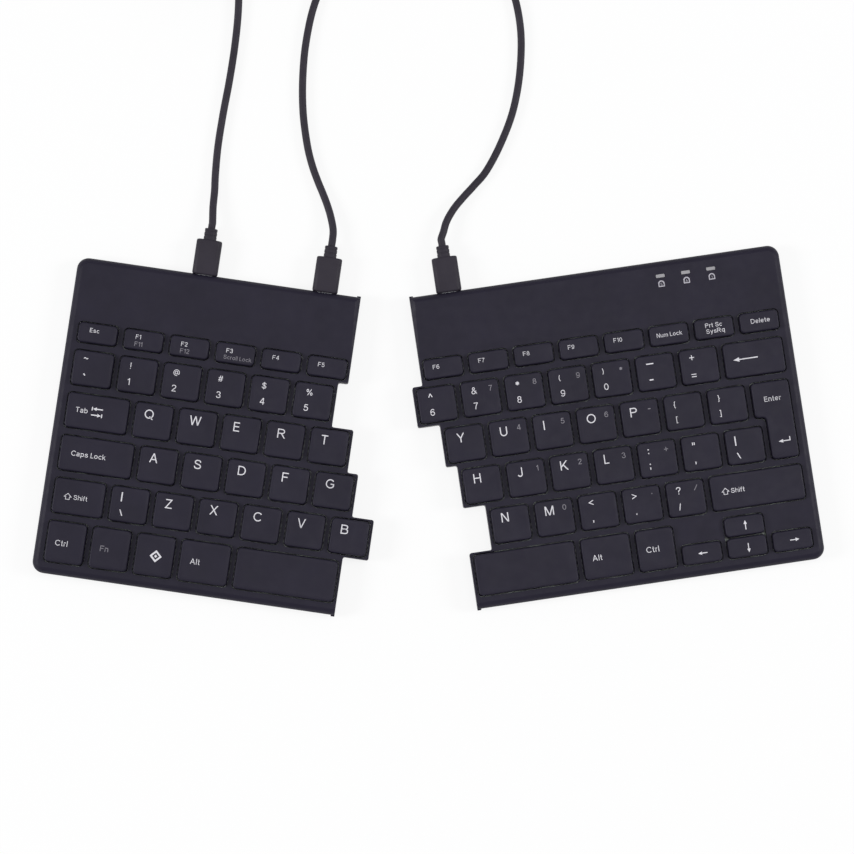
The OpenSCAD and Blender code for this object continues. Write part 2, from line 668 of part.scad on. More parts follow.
// Scissor frames: the lower bars lie on the membrane and the upper bars under the key
frame_lift = 0.64;
frame_drop = 1.6;
frame_low = sheet_z + frame_lift;
frame_high = key_under - frame_drop;
pin_d = 0.5;
module scissor_frames(keys) {
  color(frame_color) for (p = keys) at_middle(p) rotate(unit_turn(p))
    translate([0, 0, (frame_low + frame_high) / 2]) scissor_pair(reach(p));
}
module scissor_pair(half_l) {
  tilt = atan((frame_high - frame_low) / (2 * half_l));
  inner_w = scissor_w - 2 * bar - 2 * fit_gap;
  difference() {
    rotate([tilt, 0, 0]) scissor_ring(scissor_w, half_l / cos(tilt));
    rotate([0, 90, 0])
      cylinder(d = pin_d + 2 * seat_gap, h = scissor_w + overrun, center = true);
  }
  rotate([-tilt, 0, 0]) scissor_ring(inner_w, half_l / cos(tilt));
  for (s = [-1, 1]) translate([s * (inner_w - bar) / 2, 0, 0]) rotate([0, s * 90, 0])
    cylinder(d = pin_d, h = bar + fit_gap + bar / 2);
}
module scissor_ring(w, half_l) {
  translate([0, 0, -bar / 2]) linear_extrude(bar)
    sheet(block(w, 2 * half_l + bar), [block(w - 2 * bar, 2 * half_l - bar)]);
}

// Stabiliser wires: a long bar under the key's top and two legs down to the membrane
wire_inset = 5;
wire_leg = 5;
wire_toe = 1.8;
wire_sides = 8;
wire_lift = 0.1;
module stabilisers(keys) {
  color(steel_color) for (p = keys) if (max(p[2], p[3]) >= wire_from_w) at_middle(p)
    rotate(p[2] < p[3] ? 90 : 0) stabiliser(max(p[2], p[3]), min(p[2], p[3]));
}
module stabiliser(w, d) {
  r = wire_d / 2;
  x = w / 2 - wire_inset;
  y = d / 2 - key_gap / 2 - key_wall - fit_gap - r;
  top = key_under - r - fit_gap;
  foot = sheet_z + r + wire_lift;
  wire([-x - r, y, top], [x + r, y, top]);
  for (s = [-1, 1]) {
    wire([s * x, y, top], [s * x, y - wire_leg, foot]);
    wire([s * (x - r), y - wire_leg, foot], [s * (x + wire_toe), y - wire_leg, foot]);
  }
}
module wire(p, q) {
  v = q - p;
  translate(p) rotate([0, acos(v[2] / norm(v)), atan2(v[1], v[0])])
    cylinder(d = wire_d, h = norm(v), $fn = wire_sides);
}

// Controller board in the back band, cut out round the sockets, with chips and the tail's connector
board_gap = 0.8;
board_t = 1;
clamp_d = 3;
clamp_h = 1;
clamp_side = 1;
board_front = tail_y - clamp_d;
board_back = -2.4;
board_z = floor_z + board_gap;
peg_inset = 6;
peg_r = 1.5;
chip = [8, 8, 0.9];
chip_y = -8;
small_chip = [5, 3, 0.8];
small_chip_side = 12;
lamp = [2, 1, 0.6];
socket_l = 7.3;
socket_back = 1;
mouth_in = 0.2;
contact = [6.5, 0.6, 1.2];
module on_board(x, y, size) {
  translate([x - size[0] / 2, y - size[1] / 2, board_z]) cube([size[0], size[1], board_t + size[2]]);
}
module circuit_board(x0, x1, sockets, tail_x, lights) {
  x_mid = (x0 + x1) / 2;
  color(board_color) difference() {
    union() {
      translate([x0, board_front, board_z]) cube([x1 - x0, board_back - board_front, board_t]);
      for (x = [x0 + peg_inset, x1 - peg_inset]) translate([x, board_front + peg_inset, floor_z])
        cylinder(r = peg_r, h = board_gap + board_t / 2);
      on_board(x_mid, chip_y, chip);
      on_board(x_mid + small_chip_side, chip_y, small_chip);
      on_board(tail_x, tail_y - clamp_d / 2, [tail_w + 2 * clamp_side, clamp_d, clamp_h]);
      for (i = lights) on_board(middle(light_place(i))[0], middle(light_place(i))[1], lamp);
    }
    for (x = sockets)
      translate([x - socket_w / 2 - fit_gap, -socket_l - fit_gap, board_z - overrun])
        cube([socket_w + 2 * fit_gap, socket_l, board_t + 2 * overrun]);
  }
}
module usb_socket(x) {
  color(steel_color) translate([x, 0, plug_z]) {
    difference() {
      along_y(-socket_l, -mouth_in) polygon(pill(socket_w, socket_h, end_r(socket_h)));
      along_y(socket_back - socket_l, overrun)
        polygon(pill(shell_w + 2 * seat_gap, shell_h + 2 * seat_gap, end_r(shell_h)));
    }
    along_y(socket_back / 2 - socket_l, -contact[2]) polygon(block(contact[0], contact[1]));
  }
}
module light_pipes() {
  color(light_color) for (i = [0 : 2])
    slab(board_z + board_t + lamp[2] + seat_gap, cover_z) polygon(light_loop(i, 0));
}

// Key caps: a skirt in the window, sides that lean in over the cover, a stem and clip ribs below
function lean(w) = [[-w / 2, skirt_z], [w / 2, skirt_z], [w / 2, cover_z],
  [w / 2 - key_draft, key_z], [key_draft - w / 2, key_z], [-w / 2, cover_z]];
module cap_body(p) {
  w = p[2] - key_gap;
  d = p[3] - key_gap;
  at_middle(p) intersection() {
    slab(skirt_z, key_z) polygon(pill(w, d, key_corner));
    along_y(-d / 2, d / 2) polygon(lean(w));
    rotate(90) along_y(-w / 2, w / 2) polygon(lean(d));
  }
}
module cap_hollow(p) {
  w = p[2] - key_gap - 2 * key_wall;
  d = p[3] - key_gap - 2 * key_wall;
  at_middle(p) translate([-w / 2, -d / 2, skirt_z - overrun])
    cube([w, d, key_under - skirt_z + overrun]);
}
module cap_clips(p) {
  y = hook_y(p);
  at_middle(p) rotate(unit_turn(p)) {
    translate([0, 0, dome_z]) cylinder(r = key_stem_r(p), h = key_under - dome_z + key_roof / 2);
    for (s = [-1, 1]) translate([-hook_w / 2, s > 0 ? y : -y - hook_t, frame_high - bar / 2])
      cube([hook_w, hook_t, key_under - frame_high + bar / 2 + key_roof / 2]);
  }
}
module keycap(p) {
  color(key_color) {
    difference() {
      cap_body(p);
      cap_hollow(p);
    }
    cap_clips(p);
  }
}
module keycaps(list) {
  for (p = list) keycap(p);
}
module enter_cap() {
  color(key_color) {
    difference() {
      union() {
        cap_body(enter_top);
        cap_body(enter_low);
      }
      cap_hollow(enter_top);
      cap_hollow(enter_low);
    }
    cap_clips(enter_low);
  }
}

// Data plug in a socket at x: grip, strain relief, and a hollow metal shell in the socket
grip_r = 1.6;
shell_t = 0.35;
shell_short = 1.4;
module data_plug(x) {
  boot_y = fit_gap + plug_l;
  color(cord_color) translate([x, 0, plug_z]) {
    along_y(fit_gap, boot_y) polygon(pill(plug_w, plug_t, grip_r));
    along_y(boot_y - overrun, boot_y + boot_l) polygon(pill(boot_w, boot_w, grip_r));
    difference() {
      along_y(shell_short - socket_l, fit_gap + overrun)
        polygon(pill(shell_w, shell_h, end_r(shell_h)));
      along_y(-socket_l, -shell_t)
        polygon(pill(shell_w - 2 * shell_t, shell_h - 2 * shell_t, end_r(shell_h - 2 * shell_t)));
    }
  }
}

// Coil tie: a flat band round the coil's bundle of turns
tie_w = 7;
tie_t = 0.7;
tie_r = 1.5;
tie_angle = 225;
module tie() {
  w = coil_span + cord_d + 2 * fit_gap;
  h = (coil_layers - 1) * coil_step + cord_d + 2 * fit_gap;
  z = lie_z + coil_lift + (coil_layers - 1) * coil_step / 2;
  color(rubber_color) translate([coil_middle[0], coil_middle[1], z]) rotate(tie_angle)
    translate([coil_r, 0, 0]) along_y(-tie_w / 2, tie_w / 2)
      sheet(pill(w + 2 * tie_t, h + 2 * tie_t, tie_r), [pill(w, h, tie_r - tie_t)]);
}

// Host USB plug beside the coil: grip, strain relief and a hollow shell with its tongue
usb_shell_w = 12;
usb_shell_h = 4.5;
usb_shell_t = 0.3;
usb_shell_l = 14;
usb_tongue_t = 1.9;
usb_tongue_z = 0.9;
module usb_plug() {
  grip_end = usb_boot_l + usb_l;
  hole_w = usb_shell_w - 2 * usb_shell_t;
  hole_h = usb_shell_h - 2 * usb_shell_t;
  color(cord_color) translate(usb_at) rotate(90) {
    along_y(0, usb_boot_l + overrun) polygon(pill(usb_boot_w, usb_boot_w, grip_r));
    along_y(usb_boot_l, grip_end) polygon(pill(usb_w, usb_t, grip_r));
    difference() {
      along_y(grip_end - overrun, grip_end + usb_shell_l) polygon(block(usb_shell_w, usb_shell_h));
      along_y(grip_end, grip_end + usb_shell_l + overrun) polygon(block(hole_w, hole_h));
    }
    translate([0, 0, usb_tongue_z]) along_y(grip_end - overrun, grip_end + usb_shell_l - overrun)
      polygon(block(hole_w - 2 * seat_gap, usb_tongue_t));
  }
}

// Sub-parts of the left half
board_past = 7;
left_board_out = 14;
left_tail_off = 24;
left_sockets = [host_socket_x, left_link_x];
left_board = [host_socket_x - left_board_out, left_link_x + board_past];
left_tail_x = host_socket_x + left_tail_off;
module left_bottom_case() { on_left() bottom_case(left_rows, left_sockets); }
module left_top_cover() { on_left() top_cover(left_rows, left_windows, left_sockets); }
module left_support_plate() { on_left() support_plate(left_rows, left_keys); }
module left_membrane() { on_left() membrane(left_rows, left_keys, left_tail_x); }
module left_domes() { on_left() domes(left_keys); }
module left_scissor_frames() { on_left() scissor_frames(left_keys); }
module left_stabilisers() { on_left() stabilisers(left_keys); }
module left_circuit_board() {
  on_left() circuit_board(left_board[0], left_board[1], left_sockets, left_tail_x, []);
}
module left_usb_sockets() { on_left() for (x = left_sockets) usb_socket(x); }
module left_feet() { on_left() feet(left_rows); }
module left_screws() { on_left() screws(left_rows); }

// Sub-parts of the right half
right_board_out = 12;
right_tail_off = 40;
right_sockets = [right_link_x];
right_board = [light_x - right_board_out, right_link_x + board_past];
right_tail_x = right_link_x - right_tail_off;
module right_bottom_case() { on_right() bottom_case(right_rows, right_sockets); }
module right_top_cover() { on_right() top_cover(right_rows, right_windows, right_sockets); }
module right_support_plate() { on_right() support_plate(right_rows, right_keys); }
module right_membrane() { on_right() membrane(right_rows, right_keys, right_tail_x); }
module right_domes() { on_right() domes(right_keys); }
module right_scissor_frames() { on_right() scissor_frames(right_keys); }
module right_stabilisers() { on_right() stabilisers(right_keys); }
module right_circuit_board() {
  on_right() circuit_board(right_board[0], right_board[1], right_sockets, right_tail_x, [0, 1, 2]);
}
module right_usb_socket() { on_right() for (x = right_sockets) usb_socket(x); }
module right_feet() { on_right() feet(right_rows); }
module right_screws() { on_right() screws(right_rows); }
module right_light_pipes() { on_right() light_pipes(); }

// Keys of the left half
module left_function_keys() { on_left() keycaps(places(left_rows[0])); }
module left_number_keys() { on_left() keycaps(places(left_rows[1])); }
module tab_key() { on_left() keycap(place(left_rows[2], 0)); }
module left_top_letters() { on_left() keycaps(places(left_rows[2], 1)); }
module caps_lock_key() { on_left() keycap(place(left_rows[3], 0)); }
module left_home_letters() { on_left() keycaps(places(left_rows[3], 1)); }
module left_shift_key() { on_left() keycap(place(left_rows[4], 0)); }
module left_bottom_letters() { on_left() keycaps(places(left_rows[4], 1)); }
module left_ctrl_key() { on_left() keycap(place(left_rows[5], 0)); }
module fn_key() { on_left() keycap(place(left_rows[5], 1)); }
module system_key() { on_left() keycap(place(left_rows[5], 2)); }
module left_alt_key() { on_left() keycap(place(left_rows[5], 3)); }
module left_space_key() { on_left() keycap(place(left_rows[5], 4)); }

// Keys of the right half
module right_function_keys() { on_right() keycaps(places(right_rows[0])); }
module right_number_keys() { on_right() keycaps(places(right_rows[1], 1)); }
module backspace_key() { on_right() keycap(place(right_rows[1], 0)); }
module right_top_letters() { on_right() keycaps(places(right_rows[2], 1)); }
module enter_key() { on_right() enter_cap(); }
module right_home_letters() { on_right() keycaps(places(right_rows[3], 1)); }
module right_bottom_letters() { on_right() keycaps(places(right_rows[4], 1)); }
module right_shift_key() { on_right() keycap(place(right_rows[4], 0)); }
module right_space_key() { on_right() keycap(place(right_rows[5], 5)); }
module right_alt_key() { on_right() keycap(place(right_rows[5], 4)); }
module right_ctrl_key() { on_right() keycap(place(right_rows[5], 3)); }
module arrow_left_key() { on_right() keycap(arrow_left); }
module arrow_up_key() { on_right() keycap(arrow_up); }
module arrow_down_key() { on_right() keycap(arrow_down); }
module arrow_right_key() { on_right() keycap(arrow_right); }

// Cords and plugs
module host_plug() { on_left() data_plug(host_socket_x); }
module link_plug_left() { on_left() data_plug(left_link_x); }
module link_plug_right() { on_right() data_plug(right_link_x); }
module host_lead() {
  points = concat(straight_end(host_exit, left_heading), host_route, coil_lead_in);
  color(cord_color) tube(smooth(points, 2), lead_sides);
}
module host_coil() {
  tail = smooth(concat([coil_end], tail_points), 3);
  points = concat([coil_lead_in[1]], coil_points, [for (i = [1 : len(tail) - 1]) tail[i]]);
  color(cord_color) tube(points, coil_sides);
}
module coil_tie() { tie(); }
module host_usb_plug() { usb_plug(); }
module link_lead() {
  right_end = straight_end(right_exit, right_heading);
  points = concat(straight_end(left_exit, left_heading), link_route_left, link_route_right,
    [right_end[2], right_end[1], right_end[0]]);
  color(cord_color) tube(smooth(points, 2), lead_sides);
}

left_bottom_case();
left_top_cover();
left_support_plate();
left_membrane();
left_domes();
left_scissor_frames();
left_stabilisers();
left_circuit_board();
left_usb_sockets();
left_feet();
left_screws();
right_bottom_case();
right_top_cover();
right_support_plate();
right_membrane();
right_domes();
right_scissor_frames();
right_stabilisers();
right_circuit_board();
right_usb_socket();
right_feet();
right_screws();
right_light_pipes();
left_function_keys();
left_number_keys();
tab_key();
left_top_letters();
caps_lock_key();
left_home_letters();
left_shift_key();
left_bottom_letters();
left_ctrl_key();
fn_key();
system_key();
left_alt_key();
left_space_key();
right_function_keys();
right_number_keys();
backspace_key();
right_top_letters();
enter_key();
right_home_letters();
right_bottom_letters();
right_shift_key();
right_space_key();
right_alt_key();
right_ctrl_key();
arrow_left_key();
arrow_up_key();
arrow_down_key();
arrow_right_key();
host_plug();
host_lead();
host_coil();
coil_tie();
host_usb_plug();
link_plug_left();
link_plug_right();
link_lead();
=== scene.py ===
import json
import math
from collections import namedtuple

import bmesh
import bpy
import numpy as np
from mathutils import Matrix, Vector

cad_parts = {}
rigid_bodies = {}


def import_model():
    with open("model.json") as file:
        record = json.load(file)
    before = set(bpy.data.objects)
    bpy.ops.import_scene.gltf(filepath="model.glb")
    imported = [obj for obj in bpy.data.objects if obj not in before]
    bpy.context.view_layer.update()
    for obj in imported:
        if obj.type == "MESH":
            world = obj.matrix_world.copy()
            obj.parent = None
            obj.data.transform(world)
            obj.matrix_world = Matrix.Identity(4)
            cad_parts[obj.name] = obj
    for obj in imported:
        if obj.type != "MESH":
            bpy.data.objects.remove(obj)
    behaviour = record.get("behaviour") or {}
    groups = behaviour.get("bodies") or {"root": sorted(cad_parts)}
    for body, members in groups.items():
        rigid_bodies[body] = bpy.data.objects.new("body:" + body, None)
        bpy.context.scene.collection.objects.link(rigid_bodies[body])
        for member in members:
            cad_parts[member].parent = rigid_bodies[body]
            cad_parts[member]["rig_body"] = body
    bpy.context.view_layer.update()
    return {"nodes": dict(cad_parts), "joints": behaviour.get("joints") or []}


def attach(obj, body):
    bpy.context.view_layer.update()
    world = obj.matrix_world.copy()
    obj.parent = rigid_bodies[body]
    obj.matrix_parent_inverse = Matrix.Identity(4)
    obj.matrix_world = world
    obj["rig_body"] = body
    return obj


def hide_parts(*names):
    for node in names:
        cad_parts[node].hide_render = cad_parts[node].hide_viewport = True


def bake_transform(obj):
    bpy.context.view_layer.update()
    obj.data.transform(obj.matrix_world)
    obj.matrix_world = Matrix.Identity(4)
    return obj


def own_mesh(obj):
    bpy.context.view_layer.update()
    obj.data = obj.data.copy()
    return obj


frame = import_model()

scene = bpy.context.scene
scene.view_settings.view_transform = "Standard"

# Lengths below are in millimetres unless a name says otherwise
MM = 0.001

# Camera: almost straight down, leaning a little to the front and to the left
CAMERA_TILT = math.radians(3.61)
CAMERA_YAW = math.radians(1.04)
CAMERA_ROLL = math.radians(-0.1001)
CAMERA_AIM = Vector((-0.0021, -0.00068, 0.0078))
CAMERA_DISTANCE_M = 1.5
LENS, SENSOR_W = 147.26, 36
SHIFT_X, SHIFT_Y = 0.00329, 0.00549


def add_camera():
    flat = math.cos(CAMERA_TILT)
    back = Vector((-flat * math.sin(CAMERA_YAW), -math.sin(CAMERA_TILT),
                   flat * math.cos(CAMERA_YAW)))
    level = Vector((0, 1, 0)).cross(back).normalized()
    right = Matrix.Rotation(CAMERA_ROLL, 3, back) @ level
    data = bpy.data.cameras.new("camera")
    data.lens, data.sensor_width = LENS, SENSOR_W
    data.shift_x, data.shift_y = SHIFT_X, SHIFT_Y
    camera = bpy.data.objects.new("camera", data)
    place = Matrix((right, back.cross(right), back)).transposed().to_4x4()
    place.translation = CAMERA_AIM + CAMERA_DISTANCE_M * back
    camera.matrix_world = place
    scene.collection.objects.link(camera)
    scene.camera = camera


add_camera()


# Materials
NOISE_LOW, NOISE_HIGH = 0.3, 0.7
MOTTLE_SCALE, MOTTLE_SHARE = 70, 0.1
GLOSS_SCALE, GLOSS_SPREAD = 260, 0.06


def srgb(r, g, b):
    return tuple(((c / 255 + 0.055) / 1.055) ** 2.4 for c in (r, g, b)) + (1,)


class Shader:
    """A material with a Principled shader, and short calls for the nodes round it"""

    def __init__(self, name, rough, specular=0.5, metal=0.0):
        self.material = bpy.data.materials.new(name)
        self.material.use_nodes = True
        self.tree = self.material.node_tree
        self.out = self.tree.nodes["Principled BSDF"]
        self.set("Roughness", rough)
        self.set("Specular IOR Level", specular)
        self.set("Metallic", metal)
        self.coords = self.node("ShaderNodeTexCoord").outputs["Object"]

    def node(self, kind):
        return self.tree.nodes.new(kind)

    def link(self, a, b):
        self.tree.links.new(a, b)

    def set(self, socket, value):
        self.out.inputs[socket].default_value = value

    def stretch(self, scale):
        mapping = self.node("ShaderNodeMapping")
        mapping.inputs["Scale"].default_value = scale
        self.link(self.coords, mapping.inputs["Vector"])
        return mapping.outputs["Vector"]

    def noise(self, scale, detail=2.0, coords=None):
        node = self.node("ShaderNodeTexNoise")
        node.inputs["Scale"].default_value = scale
        node.inputs["Detail"].default_value = detail
        self.link(coords or self.coords, node.inputs["Vector"])
        return node.outputs["Fac"]

    def wave(self, scale, direction, distortion=0.0):
        node = self.node("ShaderNodeTexWave")
        node.bands_direction = direction
        node.inputs["Scale"].default_value = scale
        node.inputs["Distortion"].default_value = distortion
        self.link(self.coords, node.inputs["Vector"])
        return node.outputs["Fac"]

    def ramp(self, factor, low, high, first, last):
        node = self.node("ShaderNodeValToRGB")
        ends = node.color_ramp.elements
        ends[0].position, ends[1].position = first, last
        ends[0].color, ends[1].color = low, high
        self.link(factor, node.inputs["Fac"])
        self.link(node.outputs["Color"], self.out.inputs["Base Color"])

    def roughen(self, factor, low, high):
        node = self.node("ShaderNodeMapRange")
        node.inputs["From Min"].default_value = NOISE_LOW
        node.inputs["From Max"].default_value = NOISE_HIGH
        node.inputs["To Min"].default_value = low
        node.inputs["To Max"].default_value = high
        self.link(factor, node.inputs["Value"])
        self.link(node.outputs["Result"], self.out.inputs["Roughness"])

    def bump(self, factor, depth, strength=0.5):
        node = self.node("ShaderNodeBump")
        node.inputs["Strength"].default_value = strength
        node.inputs["Distance"].default_value = depth * MM
        self.link(factor, node.inputs["Height"])
        self.link(node.outputs["Normal"], self.out.inputs["Normal"])


def shade(color, factor):
    return tuple(c * factor for c in color[:3]) + (1,)


def moulded(name, color, rough, grain, depth, specular=0.3):
    """Moulded plastic or rubber: spark-eroded grain, faint mottling and uneven gloss"""
    s = Shader(name, rough, specular)
    dark, pale = shade(color, 1 - MOTTLE_SHARE), shade(color, 1 + MOTTLE_SHARE)
    s.ramp(s.noise(MOTTLE_SCALE, 4), dark, pale, NOISE_LOW, NOISE_HIGH)
    s.roughen(s.noise(GLOSS_SCALE, 3), rough - GLOSS_SPREAD, rough + GLOSS_SPREAD)
    s.bump(s.noise(grain, 2), depth)
    return s


CASE = moulded("case_plastic", srgb(36, 33, 47), 0.52, 3800, 0.02, 0.2)
KEY = moulded("key_plastic", srgb(36, 33, 47), 0.46, 5200, 0.012, 0.2)
RUBBER = moulded("foot_rubber", srgb(32, 31, 34), 0.8, 2600, 0.03, 0.2)
CORD = moulded("cord_jacket", srgb(50, 46, 55), 0.55, 4200, 0.02, 0.2)
FRAME = moulded("frame_acetal", srgb(222, 220, 214), 0.4, 3000, 0.01, 0.4)
DOME = moulded("dome_silicone", srgb(196, 192, 182), 0.45, 2400, 0.01, 0.4)
DOME.set("Subsurface Weight", 0.3)
DOME.set("Subsurface Scale", 0.001)
TONGUE = moulded("plug_tongue", srgb(230, 230, 228), 0.35, 3000, 0.01)
LIGHT = moulded("light_pipe", srgb(150, 148, 152), 0.3, 2400, 0.01, 0.5)
INK = moulded("legend_ink", srgb(222, 220, 226), 0.6, 5200, 0.006, 0.2)
STATUS_INK = moulded("status_ink", srgb(186, 183, 192), 0.6, 5200, 0.006, 0.2)
GREY_INK = moulded("legend_ink_grey", srgb(136, 133, 141), 0.6, 5200, 0.006, 0.2)


def steel():
    s = Shader("sheet_steel", 0.3, 0.5, 1.0)
    brushed = s.noise(120, 3, s.stretch((1, 30, 1)))
    s.ramp(brushed, srgb(150, 152, 156), srgb(190, 192, 196), NOISE_LOW, NOISE_HIGH)
    s.roughen(brushed, 0.22, 0.42)
    s.bump(brushed, 0.006, 0.3)
    return s


def film():
    s = Shader("membrane_film", 0.3, 0.5)
    s.ramp(s.wave(140, "Y", 3.0), srgb(176, 186, 178), srgb(120, 124, 122), 0.45, 0.55)
    s.roughen(s.noise(200, 3), 0.25, 0.4)
    return s


def board():
    s = Shader("circuit_board", 0.4, 0.5)
    s.ramp(s.wave(260, "X", 6.0), srgb(26, 70, 46), srgb(44, 104, 68), 0.46, 0.54)
    s.roughen(s.noise(300, 2), 0.3, 0.5)
    return s


def strap():
    s = Shader("tie_strap", 0.85, 0.2)
    s.ramp(s.noise(900, 4), srgb(28, 27, 30), srgb(52, 50, 55), 0.35, 0.65)
    s.bump(s.noise(2600, 3), 0.15, 0.8)
    return s


STEEL, FILM, BOARD, STRAP = steel(), film(), board(), strap()


# Meshes
MITRE_LIMIT = 0.35
LEAST_RADIUS = 0.4


class Solid:
    """Points in millimetres and faces, gathered from several closed forms"""

    def __init__(self):
        self.points = []
        self.faces = []

    def add(self, points, faces):
        start = len(self.points)
        self.points.extend([float(c) for c in p] for p in points)
        self.faces.extend([start + i for i in f] for f in faces)

    def loft(self, rings, closed=False):
        """Skin over rings of equal length, closed with a face at each end or joined into a loop"""
        n, m = len(rings), len(rings[0])
        faces = []
        for i in range(n if closed else n - 1):
            a, b = i * m, (i + 1) % n * m
            for k in range(m):
                j = (k + 1) % m
                faces.append([a + k, a + j, b + j, b + k])
        if not closed:
            faces.append(list(range(m))[::-1])
            faces.append([(n - 1) * m + k for k in range(m)])
        self.add([p for r in rings for p in r], faces)

    def prism(self, loop, z0, z1):
        self.loft([[(x, y, z) for x, y in loop] for z in (z0, z1)])

    def stroke(self, path, width, z0, z1, closed=False):
        """Ribbon of even width along a flat path, with mitred bends"""
        p = [np.array(q, float) for q in path]
        n = len(p)
        sides = []
        for i in range(n):
            before = p[i] - p[i - 1] if closed or i > 0 else p[1] - p[0]
            after = p[(i + 1) % n] - p[i] if closed or i < n - 1 else before
            a, b = before / np.linalg.norm(before), after / np.linalg.norm(after)
            normal = np.array([-a[1] - b[1], a[0] + b[0]])
            normal /= np.linalg.norm(normal)
            reach = width / 2 / max(normal @ np.array([-a[1], a[0]]), MITRE_LIMIT)
            sides.append((p[i] + reach * normal, p[i] - reach * normal))
        rings = [[(*l, z0), (*r, z0), (*r, z1), (*l, z1)] for l, r in sides]
        self.loft(rings, closed)


def make(name, solid, shader, place=None, angle=40):
    """Mesh object from a solid, smooth but for edges sharper than the angle"""
    points = np.array(solid.points) if place is None else place(np.array(solid.points))
    mesh = bpy.data.meshes.new(name)
    mesh.from_pydata((points * MM).tolist(), [], solid.faces)
    bm = bmesh.new()
    bm.from_mesh(mesh)
    bmesh.ops.recalc_face_normals(bm, faces=bm.faces)
    bm.to_mesh(mesh)
    bm.free()
    mesh.shade_smooth()
    mesh.set_sharp_from_angle(angle=math.radians(angle))
    mesh.materials.append(shader.material)
    obj = bpy.data.objects.new(name, mesh)
    scene.collection.objects.link(obj)
    return obj


def rounded(corners, radii, steps):
    """Loop with its square corners rounded"""
    n = len(corners)
    loop = []
    for i in range(n):
        p, q, s = (np.array(corners[j % n], float) for j in (i - 1, i, i + 1))
        u, v = (p - q) / np.linalg.norm(p - q), (s - q) / np.linalg.norm(s - q)
        centre = q + radii[i] * (u + v)
        for k in range(steps + 1):
            a = math.pi / 2 * k / steps
            loop.append(centre - radii[i] * (v * math.cos(a) + u * math.sin(a)))
    return loop


def box_loop(w, d, r, steps=4):
    corners = [(-w / 2, -d / 2), (w / 2, -d / 2), (w / 2, d / 2), (-w / 2, d / 2)]
    return rounded(corners, [r] * 4, steps)


def inset_loop(corners, inset, radius, steps=4):
    """Rounded loop drawn in from square corners that run anticlockwise"""
    n = len(corners)
    moved, radii = [], []
    for i in range(n):
        p, q, s = (np.array(corners[j % n], float) for j in (i - 1, i, i + 1))
        a, b = (q - p) / np.linalg.norm(q - p), (s - q) / np.linalg.norm(s - q)
        moved.append(q + inset * np.array([-a[1] - b[1], a[0] + b[0]]))
        convex = a[0] * b[1] - a[1] * b[0] > 0
        radii.append(max(radius - inset, LEAST_RADIUS) if convex else radius + inset)
    return rounded(moved, radii, steps)


# Halves: a level frame for each, from the point that both turn about
SPLAY = next(j for j in frame["joints"] if j["name"] == "splay")
POLE = np.array(SPLAY["pos_m"][:2]) / MM
SPLAY_DEG = 16.65
HALF_TURN = math.radians(SPLAY_DEG / 2)
TURN = {"left": -HALF_TURN, "right": HALF_TURN}
POLE_X = 123.55
POLE_BACK = 68.0
CLOSED_W = 284.74


def level_x(half, x, w=0.0):
    """Level x of the left side of a place that is x from the half's outer edge"""
    return x - POLE_X if half == "left" else CLOSED_W - POLE_X - x - w


def on_half(half):
    c, s = math.cos(TURN[half]), math.sin(TURN[half])

    def place(p):
        y = p[:, 1] - POLE_BACK
        turned = (c * p[:, 0] - s * y, s * p[:, 0] + c * y)
        return np.column_stack((POLE[0] + turned[0], POLE[1] + turned[1], p[:, 2]))

    return place


# Cords: the leads' routes follow on from the plugs
CORD_D = 3.2
LIE_Z = 1.7
PLUG_Z = 4.3
PLUG_L, BOOT_L, FIT_GAP = 14.9, 5.0, 0.3
EXIT_Y = FIT_GAP + PLUG_L + BOOT_L
HOST_X, LEFT_LINK_X, RIGHT_LINK_X = 54.7, 107.0, 143.4


def exit_line(half, x):
    """First points of a lead, straight out of its plug"""
    line = [(level_x(half, x), EXIT_Y + k * CORD_D / 2, PLUG_Z) for k in range(3)]
    return on_half(half)(np.array(line))


HOST_ROUTE = [
    (-93.05, 97, 3.5), (-92.45, 104, 2.5), (-92.1, 112, 1.9), (-91, 124, LIE_Z),
    (-88.8, 138, LIE_Z), (-86.2, 152, LIE_Z), (-83.9, 167, LIE_Z), (-82.4, 182, 1.9),
    (-82, 198, 2.5)
]
LINK_LEFT = [
    (-41.2, 86.8, 3.9), (-42.1, 92.1, 3.2), (-43.6, 97.4, 2.5), (-45.5, 102.6, 1.9),
    (-47.7, 108, LIE_Z), (-50.2, 115, LIE_Z), (-52.4, 124, LIE_Z), (-54.2, 138, LIE_Z),
    (-54.4, 153, LIE_Z), (-53, 169, LIE_Z), (-49.2, 186, LIE_Z), (-42, 202, LIE_Z),
    (-29.5, 216, LIE_Z)
]
LINK_RIGHT = [
    (-11, 223.5, LIE_Z), (9, 221.5, LIE_Z), (25, 211, LIE_Z), (35.5, 195, LIE_Z), (40, 177, LIE_Z),
    (40, 158, LIE_Z), (37, 140, LIE_Z), (31.5, 125, LIE_Z), (25.2, 113, LIE_Z), (19.7, 106.4, 1.9),
    (15, 101.2, 2.4), (10.9, 96.1, 3.1), (7.8, 90.6, 3.8), (6.5, 86.2, 4.1)
]
COIL_MIDDLE = np.array((-104.8, 216.0))
COIL_R = 17.2
COIL_TURNS = 12.25
COIL_LAYERS = 4
COIL_STEP = 3.7
COIL_LIFT = 1.1
COIL_LOW = LIE_Z + COIL_LIFT
LAYER_TURNS = COIL_TURNS / COIL_LAYERS
COIL_SPAN = LAYER_TURNS * COIL_STEP


def ease(t):
    c = min(max(t, 0.0), 1.0)
    return c * c * (3 - 2 * c)


def coil_at(t):
    layer = min(int(t / LAYER_TURNS), COIL_LAYERS - 1)
    f = t / LAYER_TURNS - layer
    r = COIL_R + COIL_SPAN * (0.5 - f if layer % 2 == 0 else f - 0.5)
    climb = sum(ease(2 * (t - i * LAYER_TURNS) + 0.5) for i in range(1, COIL_LAYERS))
    a = 2 * math.pi * t
    x, y = COIL_MIDDLE + r * np.array((math.cos(a), math.sin(a)))
    return np.array((x, y, COIL_LOW + COIL_STEP * climb))


